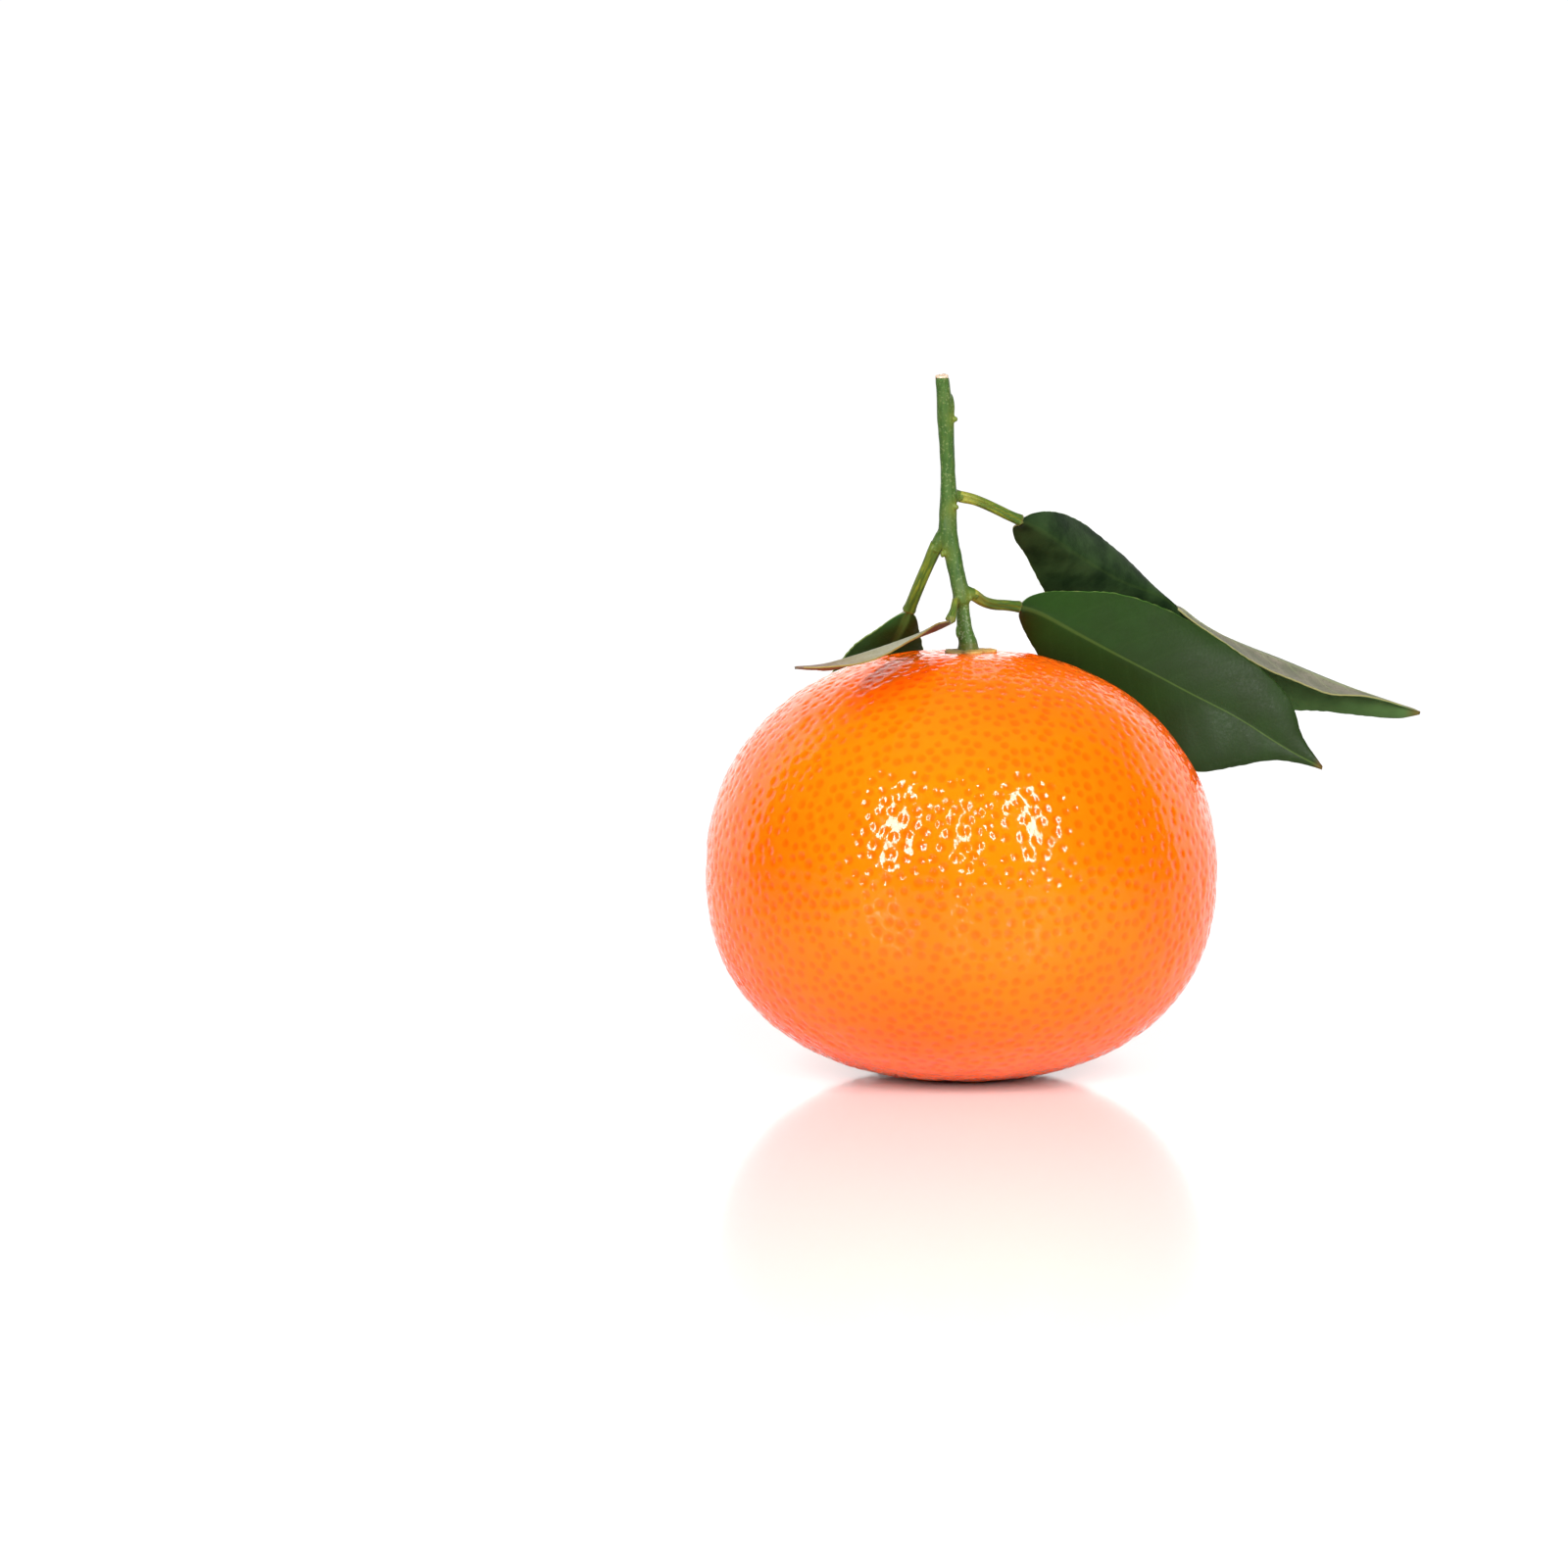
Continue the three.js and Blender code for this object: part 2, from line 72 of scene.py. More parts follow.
# Oil glands: small dishes in the peel, each a little different
GLAND_SEED = 5
GLAND_TRIES = 60000
GLAND_SPACING = 1.3
GLAND_RADIUS = (0.6, 0.84)
GLAND_DEPTH = (0.085, 0.15)
GLAND_FINE_DEPTH = 0.02
PEEL_WAVE_HEIGHT = 0.11
PEEL_WAVE_LENGTH = 3.6

# Calyx, in millimetres
CALYX_X, CALYX_Y, CALYX_RADIUS = 1.0, 0.1, 3.1
CALYX_LOBES, CALYX_LOBE_DEPTH = 5, 0.3
CALYX_THICKNESS, CALYX_SINK = 0.42, 0.25

# Twig: points of its centre line from the fruit up to the cut end, each with its radius
TWIG_STATIONS = [
    (0.95, 0.0, 52.9, 1.6), (0.9, 0.0, 53.4, 1.36), (0.85, 0.0, 54.2, 1.18), (0.6, 0.0, 55.2, 1.06),
    (0.35, 0.0, 56.8, 0.94), (0.2, 0.0, 58.7, 0.88), (0.1, 0.0, 59.15, 1.1), (0.0, 0.0, 60.3, 1.1),
    (-0.4, 0.2, 62.1, 1.06), (-1.0, 0.4, 64.9, 1.1), (-1.6, 0.5, 67.6, 1.22), (-1.65, 0.5, 69.8, 1.14),
    (-1.6, 0.3, 72.2, 1.08), (-1.65, 0.2, 74.5, 0.98), (-1.8, 0.0, 78.0, 0.97), (-2.0, -0.3, 81.6, 1.06),
    (-2.2, -0.6, 84.5, 0.96), (-2.5, -1.0, 87.5, 0.84),
]
TWIG_BUDS = [
    ((-0.7, -0.3, 71.0), (0.42, 0.4, 0.4)),
    ((-2.3, -0.2, 65.2), (0.36, 0.4, 0.5)),
    ((1.1, -0.3, 59.7), (0.34, 0.4, 0.42)),
    ((-0.9, -0.5, 58.9), (0.3, 0.45, 0.7)),
    ((-1.35, -0.4, 83.2), (0.55, 0.55, 1.9)),
    ((-0.8, -0.6, 81.9), (0.36, 0.36, 0.4)),
    ((-0.4, -0.4, 55.6), (0.3, 0.35, 0.9)),
]

BARK_RIDGE, BARK_RIDGE_SCALE = 0.035, (3.2, 3.2, 0.35)
BARK_LUMP, BARK_LUMP_SCALE = 0.04, (0.9, 0.9, 0.9)
BARK_SINK = 0.03
BUD_LIMIT = 0.6
CUT_START_Z, CUT_RAGGEDNESS = 87.0, 0.1
AXIL_REACH = 1.05
PEDICEL_TOP_Z, PEDICEL_FOOT_Z = 58.9, 53.8

# Leaves: listed points of the stalk, the midrib and the two edges of each blade
LEAVES = {
    "leaf_upper_right": {
        "root": (-1.6, 0.4, 72.6),
        "stalk_radius": 0.66,
        "start_yellow": 0.95,
        "dryness": 0.0,
        # Upper face dark near the base and lighter towards the tip; the lighter tip is painted light against the shade
        # the folded-over strip throws on it
        "upper_face": ((0.0045, 0.0125, 0.0035), (0.052, 0.1, 0.03)),
        "underside": ((0.11, 0.114, 0.073), (0.176, 0.158, 0.118)),
        "rib_shine": 0.1,
        "rib_height": 0.5,
        "belly": 0.04,
        "margin": (0.05, 0.12, 0.02),
        "rib_width": 0.32,
        "start_reach": 2.6,
        "stalk_flare": 0.14,
        "gloss": 0.03,
        "painted_light_span": (0.4, 0.8),
        "rib_tint": (0.045, 0.078, 0.014),
        "rim": (0.2, 0.19, 0.07),
        "flare_reach": 0.8,
        "stalk": [(0.2, 1.0, 72.2), (1.5, 1.3, 71.9), (2.8, 1.8, 71.4), (4.5, 2.6, 70.6), (6.1, 3.4, 69.8),
                  (7.7, 4.2, 69.1)],
        "rib": [(7.7, 4.2, 69.1), (10.2, 6.8, 67.8), (15.1, 12.0, 64.4), (21.2, 18.5, 60.7),
                (26.4, 23.0, 58.5), (31.7, 27.0, 54.6), (36.6, 29.5, 52.1), (42.9, 32.0, 49.5),
                (50.8, 34.0, 46.2), (61.2, 35.5, 42.6)],
        "left": [(7.7, 4.2, 69.5), (9.3, 6.5, 70.1), (12.3, 10.5, 70.0), (15.7, 15.0, 68.5),
                 (19.2, 18.5, 65.8), (22.8, 22.0, 62.6), (26.4, 24.0, 59.0), (29.6, 24.7, 56.2),
                 (33.2, 24.5, 53.5), (38.3, 25.5, 50.1), (43.3, 27.0, 47.7), (48.7, 29.5, 45.5),
                 (54.5, 32.5, 44.9), (61.2, 35.5, 42.9)],
        "right": [(7.7, 4.2, 68.7), (6.6, 5.5, 68.3), (6.8, 7.5, 66.8), (8.2, 10.0, 64.7),
                  (11.1, 15.5, 59.5), (14.6, 20.5, 55.2), (20.3, 25.5, 50.9), (27.5, 29.0, 47.0),
                  (34.7, 32.0, 44.5), (41.8, 33.5, 43.2), (48.4, 35.0, 42.8), (54.2, 36.0, 42.1),
                  (58.5, 36.0, 41.8), (61.1, 35.5, 42.3)],
    },
    "leaf_front_right": {
        "root": (0.0, 0.0, 60.6),
        "stalk_radius": 0.68,
        "start_yellow": 0.65,
        "dryness": 0.0,
        # Upper face lighter near the stalk and darker towards the tip; the lighter base is painted light against the
        # shade beside the fruit
        "upper_face": ((0.0135, 0.038, 0.006), (0.0115, 0.0225, 0.0052)),
        "underside": ((0.17, 0.19, 0.11), (0.25, 0.26, 0.18)),
        "rib_shine": 0.7,
        "rib_height": 0.5,
        "belly": 0.04,
        "margin": (0.05, 0.12, 0.02),
        "rib_width": 0.32,
        "start_reach": 2.6,
        "stalk_flare": 0.12,
        "gloss": 0.09,
        "painted_light_span": (0.1, 0.6),
        "rib_tint": (0.045, 0.078, 0.014),
        "rim": (0.07, 0.12, 0.03),
        "flare_reach": 0.8,
        "stalk": [(1.8, 0.8, 59.9), (2.9, 2.2, 59.15), (4.2, 3.6, 58.7), (5.7, 5.4, 58.5), (7.6, 7.0, 58.2)],
        "rib": [(7.6, 7.0, 58.2), (10.3, 9.5, 57.2), (15.1, 13.0, 54.5), (20.2, 15.5, 51.7),
                (25.6, 17.5, 48.8), (29.8, 18.7, 46.5), (36.0, 20.0, 43.2), (42.3, 21.0, 39.2),
                (47.1, 21.5, 36.6)],
        "left": [(7.6, 7.0, 58.6), (8.9, 8.5, 59.5), (11.3, 10.5, 60.0), (15.0, 13.0, 59.9),
                 (20.2, 15.8, 59.5), (25.6, 18.2, 57.8), (30.7, 20.0, 55.2), (35.9, 21.0, 51.8),
                 (40.7, 21.6, 48.1), (43.2, 21.8, 45.0), (44.6, 21.7, 40.8), (47.2, 21.5, 36.9)],
        "right": [(7.6, 7.0, 57.8), (7.5, 9.0, 56.7), (8.3, 11.5, 54.8), (10.0, 14.0, 51.9),
                  (12.7, 18.2, 48.1), (16.1, 20.8, 44.7), (20.2, 21.2, 41.6), (24.7, 20.2, 39.0),
                  (28.7, 18.6, 36.8), (31.6, 18.5, 36.3), (35.9, 19.5, 36.9), (40.8, 20.6, 37.6),
                  (44.7, 21.3, 37.0), (47.1, 21.5, 36.3)],
    },
    "leaf_back_left": {
        "root": (-1.5, 0.5, 68.5),
        "stalk_radius": 0.76,
        "start_yellow": 0.1,
        "dryness": 0.0,
        "upper_face": ((0.018, 0.066, 0.014), (0.024, 0.092, 0.02)),
        "underside": ((0.17, 0.19, 0.11), (0.25, 0.26, 0.18)),
        "rib_shine": 0.8,
        "rib_height": 0.5,
        "belly": 0.04,
        "margin": (0.14, 0.21, 0.05),
        "rib_width": 0.7,
        "start_reach": 2.6,
        "gloss": 0.05,
        "painted_light_span": (0.35, 0.9),
        "rib_tint": (0.07, 0.18, 0.04),
        "rim": (0.14, 0.21, 0.05),
        "flare_reach": 0.8,
        "stalk_flare": 0.16,
        "stalk": [(-3.3, 1.0, 65.6), (-4.0, 1.7, 63.9), (-4.75, 2.6, 62.1),
                  (-5.45, 3.6, 60.3), (-6.4, 5.5, 57.7)],
        "rib": [(-6.4, 5.5, 57.7), (-7.1, 8.5, 55.7), (-8.0, 13.0, 53.6), (-8.8, 20.0, 50.2),
                (-9.8, 27.0, 45.4), (-11.0, 33.0, 38.0), (-12.0, 37.0, 29.3)],
        "right": [(-6.8, 5.5, 57.7), (-8.0, 7.0, 57.1), (-10.6, 10.5, 55.0), (-13.4, 15.0, 52.6),
                  (-15.9, 21.0, 49.0), (-17.3, 28.0, 43.9), (-16.0, 34.0, 36.5), (-12.3, 37.0, 29.2)],
        "left": [(-6.0, 5.5, 57.7), (-5.3, 7.0, 56.8), (-4.9, 10.0, 55.2), (-4.4, 14.0, 53.2),
                 (-3.8, 20.5, 50.0), (-3.5, 27.5, 45.2), (-5.4, 34.0, 37.3), (-11.7, 37.0, 29.2)],
    },
    "leaf_front_left": {
        "root": (0.0, 0.0, 59.9),
        "stalk_radius": 0.36,
        "start_yellow": 0.6,
        "dryness": 1.0,
        "upper_face": ((0.17, 0.165, 0.07), (0.26, 0.24, 0.11)),
        # Underside: brown of the dried leaf, darkened further as painted shade, which also darkens its reflection on
        # the peel below
        "underside": ((0.05, 0.035, 0.02), (0.085, 0.055, 0.03)),
        "rib_shine": 0.5,
        "rib_height": 0.2,
        "belly": -0.04,
        "margin": (0.11, 0.12, 0.03),
        "rib_width": 0.3,
        "start_reach": 0.9,
        "gloss": 0.12,
        "painted_light_span": (0.35, 0.9),
        "rib_tint": (0.16, 0.15, 0.06),
        "rim": (0.2, 0.14, 0.03),
        "flare_reach": 1.5,
        "stalk_flare": 0.9,
        "stalk": [(-0.9, -1.8, 58.9), (-1.1, -2.4, 58.1), (-1.5, -3.2, 57.0)],
        "rib": [(-1.5, -3.2, 57.0), (-3.4, -6.0, 56.3), (-6.4, -10.5, 55.5), (-10.1, -15.0, 54.5),
                (-13.9, -19.5, 53.6), (-17.5, -23.0, 52.9), (-20.6, -26.0, 52.9)],
        "left": [(-1.3, -3.3, 57.1), (-2.1, -6.5, 57.15), (-3.8, -11.5, 57.0), (-6.2, -17.0, 55.7),
                 (-9.5, -21.5, 54.2), (-13.8, -25.0, 53.2), (-17.5, -26.5, 52.9), (-20.4, -26.2, 52.9)],
        "right": [(-1.7, -3.1, 56.9), (-3.8, -3.8, 56.05), (-7.2, -5.8, 54.75), (-10.8, -8.8, 53.3),
                  (-14.1, -13.0, 52.2), (-16.9, -18.5, 52.1), (-18.9, -23.0, 52.4), (-20.8, -25.8, 52.8)],
    },
}
BLADE_THICKNESS = 0.42
BLADE_EDGE_THICKNESS = 0.18
BLADE_STEP = 0.4
BLADE_COLUMNS = 33
SIDE_VEIN_SPACING = 4.2
SIDE_VEIN_SLANT = 0.75
SIDE_VEIN_BEND = 0.05
SIDE_VEIN_RELIEF = 0.012
SIDE_VEIN_HALF_WIDTH = 0.28
QUILT_HEIGHT = 0.007
RIPPLE_HEIGHT = 0.2
MARGIN_TOOTH = 0.05
MARGIN_TOOTH_LENGTH = 1.8
MARGIN_INSET = 0.1
RIB_HALF_WIDTH = 0.55
RIB_TAPER = 0.75
FURROW_DEPTH, FURROW_HALF_WIDTH = 0.08, 0.3
DRY_TIP_START = 0.87
STALK_STEP = 0.25


# Mesh helpers

def mesh_object(name, points, faces, smooth=True):
    """A mesh object from points in millimetres."""
    mesh = bpy.data.meshes.new(name)
    mesh.from_pydata((np.asarray(points) * MM).tolist(), [], faces)
    mesh.validate()
    mesh.polygons.foreach_set("use_smooth", [smooth] * len(mesh.polygons))
    mesh.update()
    piece = bpy.data.objects.new(name, mesh)
    bpy.context.scene.collection.objects.link(piece)
    return piece


def add_attribute(piece, name, values):
    """One number for each point of the mesh, for the shaders."""
    layer = piece.data.attributes.new(name, "FLOAT", "POINT")
    layer.data.foreach_set("value", np.asarray(values, dtype=np.float32))


def dress(piece, node, slot, *materials):
    """Puts a piece in place of its CAD node, on the one body, with its materials."""
    for material in materials:
        piece.data.materials.append(material)
    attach(piece, "root")
    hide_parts(node)


def smooth_curve(points, steps_per_span=40):
    """A centripetal spline through the points, as a dense line, with its length at each step."""
    points = np.array(points, dtype=float)
    ends = np.vstack([2 * points[0] - points[1], points, 2 * points[-1] - points[-2]])
    line = []
    for i in range(1, len(ends) - 2):
        p0, p1, p2, p3 = ends[i - 1:i + 3]
        t1 = np.linalg.norm(p1 - p0) ** 0.5
        t2 = t1 + np.linalg.norm(p2 - p1) ** 0.5
        t3 = t2 + np.linalg.norm(p3 - p2) ** 0.5
        for t in np.linspace(t1, t2, steps_per_span, endpoint=False):
            a1 = (t1 - t) / t1 * p0 + t / t1 * p1
            a2 = (t2 - t) / (t2 - t1) * p1 + (t - t1) / (t2 - t1) * p2
            a3 = (t3 - t) / (t3 - t2) * p2 + (t - t2) / (t3 - t2) * p3
            b1 = (t2 - t) / t2 * a1 + t / t2 * a2
            b2 = (t3 - t) / (t3 - t1) * a2 + (t - t1) / (t3 - t1) * a3
            line.append((t2 - t) / (t2 - t1) * b1 + (t - t1) / (t2 - t1) * b2)
    line.append(points[-1])
    line = np.array(line)
    spans = np.linalg.norm(np.diff(line[:, :3], axis=0), axis=1)
    return line, np.concatenate([[0.0], np.cumsum(spans)])


def along(curve, shares):
    """Points at the given shares of a curve's length."""
    line, lengths = curve
    at = np.asarray(shares) * lengths[-1]
    return np.stack([np.interp(at, lengths, line[:, k]) for k in range(line.shape[1])], axis=1)


def unit(vectors):
    return vectors / np.maximum(np.linalg.norm(vectors, axis=-1, keepdims=True), 1e-9)


def noise_at(points):
    """Smooth noise from about -1 to 1 at each point of an array."""
    values = [noise.noise(Vector(point)) for point in points.reshape(-1, 3)]
    return np.array(values).reshape(points.shape[:-1])


# Fruit

def geodesic_ball(frequency):
    """Directions and triangles of a twenty-sided ball whose faces are split evenly."""
    golden = (1 + 5 ** 0.5) / 2
    corners = []
    for s in (-1, 1):
        for t in (-golden, golden):
            corners += [(0, s, t), (s, t, 0), (t, 0, s)]
    corners = unit(np.array(corners, dtype=float))
    edge = np.min([np.linalg.norm(a - b) for i, a in enumerate(corners) for b in corners[:i]]) * 1.01
    near = np.linalg.norm(corners[:, None] - corners[None], axis=2) < edge
    rows = [(i, j) for i in range(frequency + 1) for j in range(frequency + 1 - i)]
    place = {pair: n for n, pair in enumerate(rows)}
    weights = np.array([(frequency - i - j, i, j) for i, j in rows], dtype=float)
    cells = []
    for i, j in rows:
        if i + j < frequency:
            cells.append((place[i, j], place[i + 1, j], place[i, j + 1]))
        if i + j < frequency - 1:
            cells.append((place[i + 1, j], place[i + 1, j + 1], place[i, j + 1]))
    cells = np.array(cells)
    points, triangles = [], []
    for a in range(12):
        for b in range(a + 1, 12):
            for c in range(b + 1, 12):
                if near[a, b] and near[b, c] and near[a, c]:
                    order = [a, b, c]
                    if np.dot(np.cross(corners[a], corners[b]), corners[c]) < 0:
                        order = [a, c, b]
                    triangles.append(cells + len(points) * len(rows))
                    points.append(unit(weights @ corners[order]))
    points = np.vstack(points)
    triangles = np.vstack(triangles)
    keys, first, index = np.unique(np.round(points * 1e5).astype(np.int64), axis=0,
                                   return_index=True, return_inverse=True)
    return points[first], index.reshape(-1)[triangles]


def peel_points(directions):
    """The peel without its glands: a flattened ball, fuller below than above, with a dimple at the stem."""
    up = directions[:, 2] > 0
    height = np.where(up, UPPER_HEIGHT, LOWER_HEIGHT)
    power = np.where(up, UPPER_POWER, LOWER_POWER)
    level = np.hypot(directions[:, 0], directions[:, 1])
    size = (level / FRUIT_RADIUS) ** power + (np.abs(directions[:, 2]) / height) ** power
    turn = np.arctan2(directions[:, 1], directions[:, 0])
    swell = np.sin(3 * turn + 0.6) * level + np.sin(2 * turn - 1.1) * directions[:, 2]
    points = directions * (size ** (-1 / power) + PEEL_UNEVENNESS * swell * level)[:, None]
    reach = np.hypot(points[:, 0], points[:, 1])
    points[:, 2] -= np.where(up, DIMPLE_DEPTH * np.exp(-(reach / DIMPLE_RADIUS) ** 2), 0.0)
    points[:, 2] += FRUIT_EQUATOR_Z
    return points


def tree_of(points):
    """A search tree over points, to find which of them lie near a place."""
    tree = kdtree.KDTree(len(points))
    for number, point in enumerate(points):
        tree.insert(point, number)
    tree.balance()
    return tree


def gland_places():
    """Places on the peel, evenly but irregularly spread, by throwing darts and keeping a distance."""
    draw = np.random.default_rng(GLAND_SEED)
    points = peel_points(unit(draw.normal(size=(GLAND_TRIES, 3))))
    tree = tree_of(points)
    free = np.ones(len(points), dtype=bool)
    kept = []
    for number, point in enumerate(points):
        if free[number]:
            kept.append(number)
            free[[near for _, near, _ in tree.find_range(point, GLAND_SPACING)]] = False
    low, high = np.array([GLAND_RADIUS, GLAND_DEPTH]).T
    sizes = low + (high - low) * draw.random((len(kept), 2))
    return points[kept], sizes


def make_fruit():
    directions, triangles = geodesic_ball(GEODESIC_FREQUENCY)
    points = peel_points(directions)
    tree = tree_of(points)
    places, sizes = gland_places()
    sink = np.zeros(len(points))
    for place, (radius, depth) in zip(places, sizes):
        for _, number, distance in tree.find_range(place, radius):
            sink[number] = max(sink[number], depth * (1 - (distance / radius) ** 2) ** 2)
    sunk_places = places - 0.5 * sizes[:, 1:] * unit(places - (0.0, 0.0, FRUIT_EQUATOR_Z))
    points -= directions * (sink + PEEL_WAVE_HEIGHT * (1 + noise_at(points / PEEL_WAVE_LENGTH)))[:, None]
    points[:, 2] = np.maximum(points[:, 2], 0.0)
    fruit = mesh_object("mandarin_peel", points, triangles.tolist())
    mark_glands(fruit, points[triangles].mean(axis=1), sunk_places, sizes[:, 0])
    dress(fruit, "fruit", "peel", peel_material())
    return fruit


def mark_glands(fruit, face_centres, places, radii):
    """Each face keeps the middle and radius of its nearest gland, so that the shader draws it finely."""
    tree = tree_of(places)
    nearest = [tree.find(centre)[1] for centre in face_centres]
    middle = fruit.data.attributes.new("gland_middle", "FLOAT_VECTOR", "FACE")
    middle.data.foreach_set("vector", (places[nearest] * MM).astype(np.float32).ravel())
    radius = fruit.data.attributes.new("gland_radius", "FLOAT", "FACE")
    radius.data.foreach_set("value", (radii[nearest] * MM).astype(np.float32))


# Calyx

def peel_height(x, y):
    level = np.hypot(x, y)
    crown = UPPER_HEIGHT * (1 - (level / FRUIT_RADIUS) ** UPPER_POWER) ** (1 / UPPER_POWER)
    return FRUIT_EQUATOR_Z + crown - DIMPLE_DEPTH * np.exp(-(level / DIMPLE_RADIUS) ** 2)


def make_calyx():
    rings, sectors = 14, 96
    points, faces = [], []
    for top in (True, False):
        for ring in range(rings + 1):
            for sector in range(sectors):
                turn = 2 * math.pi * sector / sectors
                share = max(ring / rings, 0.02)
                lobe = 1 + CALYX_LOBE_DEPTH / CALYX_RADIUS * (
                    math.cos(CALYX_LOBES * turn) + 0.5 * math.sin(2 * turn))
                ragged = 1 + 0.1 * noise.noise(Vector((4 * math.cos(turn), 4 * math.sin(turn), 0.0)))
                reach = CALYX_RADIUS * lobe * share * ragged
                x = CALYX_X + reach * math.cos(turn)
                y = CALYX_Y + reach * math.sin(turn)
                height = CALYX_THICKNESS * (1 - 0.6 * share ** 2)
                crumple = 0.16 * noise.noise(Vector((x * 1.6, y * 1.6, 4.0)))
                crumple += 0.06 * noise.noise(Vector((x * 5.0, y * 5.0, 2.0)))
                z = peel_height(x, y) + (height + crumple if top else -CALYX_SINK)
                points.append((x, y, z))
    layer = (rings + 1) * sectors
    for sector in range(sectors):
        after = (sector + 1) % sectors
        for ring in range(rings):
            a, b = ring * sectors + sector, ring * sectors + after
            faces.append((a, a + sectors, b + sectors, b))
            faces.append((layer + a, layer + b, layer + b + sectors, layer + a + sectors))
        edge, edge_after = rings * sectors + sector, rings * sectors + after
        faces.append((edge, layer + edge, layer + edge_after, edge_after))
    faces.append(tuple(range(sectors)))
    faces.append(tuple(layer + sector for sector in reversed(range(sectors))))
    calyx = mesh_object("calyx_button", points, faces)
    dress(calyx, "calyx", "calyx", calyx_material())
    return calyx


# Twig

def tube(points, radii, sides=28):
    """Points and faces of a closed tube along a line."""
    points = np.asarray(points)
    tangents = unit(np.gradient(points, axis=0))
    rings = []
    side = np.array([0.0, -1.0, 0.0])
    for point, tangent, radius in zip(points, tangents, radii):
        side = unit(side - np.dot(side, tangent) * tangent)
        other = np.cross(tangent, side)
        turns = np.arange(sides) * 2 * np.pi / sides
        rings.append(point + radius * (np.outer(np.cos(turns), side) + np.outer(np.sin(turns), other)))
    faces = ring_faces(len(rings), sides)
    return np.vstack(rings), faces


def ring_faces(count, sides):
    """Quads between rings of equal length, with the two ends closed."""
    faces = []
    for ring in range(count - 1):
        for side in range(sides):
            after = (side + 1) % sides
            low = ring * sides
            faces.append((low + side, low + after, low + sides + after, low + sides + side))
    faces.append(tuple(reversed(range(sides))))
    faces.append(tuple((count - 1) * sides + side for side in range(sides)))
    return faces


def ball(centre, size, rings=12, sides=18):
    points = []
    for ring in range(1, rings):
        lean = math.pi * ring / rings
        for side in range(sides):
            turn = 2 * math.pi * side / sides
            points.append((centre[0] + size[0] * math.sin(lean) * math.cos(turn),
                           centre[1] + size[1] * math.sin(lean) * math.sin(turn),
                           centre[2] - size[2] * math.cos(lean)))
    return np.array(points), ring_faces(rings - 1, sides)


def twig_line():
    line, lengths = smooth_curve(TWIG_STATIONS)
    shares = np.linspace(0, 1, 160)
    stations = along((line, lengths), shares)
    return stations[:, :3], stations[:, 3]


def cushion_line(leaf):
    """From inside the twig to a little way along the stalk, so that the two grow together."""
    root, start = np.array(leaf["root"]), np.array(leaf["stalk"][0])
    tangent = unit(np.array(leaf["stalk"][1]) - start)
    bend = start - 0.9 * tangent
    shares = np.linspace(0, 1, 16)[:, None]
    line = (1 - shares) ** 2 * root + 2 * shares * (1 - shares) * bend + shares ** 2 * start
    radii = leaf["stalk_radius"] * (1.3 - 0.25 * shares[:, 0] ** 1.5)
    return line, radii


def make_twig():
    points, faces = [], []
    parts = [tube(*twig_line())]
    parts += [tube(*cushion_line(leaf)) for leaf in LEAVES.values()]
    parts += [ball(centre, size) for centre, size in TWIG_BUDS]
    for part_points, part_faces in parts:
        first = sum(len(group) for group in points)
        points.append(part_points)
        faces += [tuple(first + corner for corner in face) for face in part_faces]
    twig = mesh_object("twig_bark", np.vstack(points), faces)
    fuse(twig)
    roughen_twig(twig)
    mark_axils(twig)
    dress(twig, "twig", "twig", bark_material(), cut_wood_material())
    mark_cut_end(twig)
    return twig


def fuse(piece):
    """Joins overlapping closed parts into one skin and rounds the corners where they meet."""
    enlarge = 100.0
    for vertex in piece.data.vertices:
        vertex.co *= enlarge
    remesh = piece.modifiers.new("fuse", "REMESH")
    remesh.mode = "VOXEL"
    remesh.voxel_size = 0.11 * MM * enlarge
    remesh.use_smooth_shade = True
    soften = piece.modifiers.new("soften", "SMOOTH")
    soften.factor = 0.5
    soften.iterations = 5
    graph = bpy.context.evaluated_depsgraph_get()
    mesh = bpy.data.meshes.new_from_object(piece.evaluated_get(graph))
    piece.modifiers.clear()
    old = piece.data
    piece.data = mesh
    bpy.data.meshes.remove(old)
    for vertex in piece.data.vertices:
        vertex.co /= enlarge


def vertex_values(mesh, kind):
    """The places or the normals of all the points of a mesh, as one array."""
    values = np.empty(3 * len(mesh.vertices), dtype=np.float32)
    if kind == "normal":
        mesh.vertex_normals.foreach_get("vector", values)
    else:
        mesh.vertices.foreach_get("co", values)
    return values.reshape(-1, 3).astype(float)


def roughen_twig(twig):
    """Fine lengthwise ridges and small swellings in the bark, and a slightly ragged cut."""
    points = vertex_values(twig.data, "place") / MM
    normals = vertex_values(twig.data, "normal")
    ridge = noise_at(points * BARK_RIDGE_SCALE)
    lump = noise_at(points * BARK_LUMP_SCALE)
    points += normals * (BARK_RIDGE * ridge + BARK_LUMP * lump - BARK_SINK)[:, None]
    ragged = np.where(points[:, 2] > CUT_START_Z, CUT_RAGGEDNESS * (noise_at(points * 2.5) - 1.0), 0.0)
    points[:, 2] += ragged
    twig.data.vertices.foreach_set("co", (points * MM).astype(np.float32).ravel())
    twig.data.update()


def mark_axils(twig):
    """A number that rises to 1 at the buds and where the stalks leave the twig, for the colour."""
    points = vertex_values(twig.data, "place") / MM
    middles = [centre for centre, size in TWIG_BUDS if max(size) < BUD_LIMIT]
    middles += [leaf["stalk"][0] for leaf in LEAVES.values()]
    closeness = np.zeros(len(points))
    for middle in middles:
        distance = np.linalg.norm(points - np.array(middle), axis=1)
        closeness = np.maximum(closeness, np.exp(-(distance / AXIL_REACH) ** 2))
    add_attribute(twig, "axil", closeness)


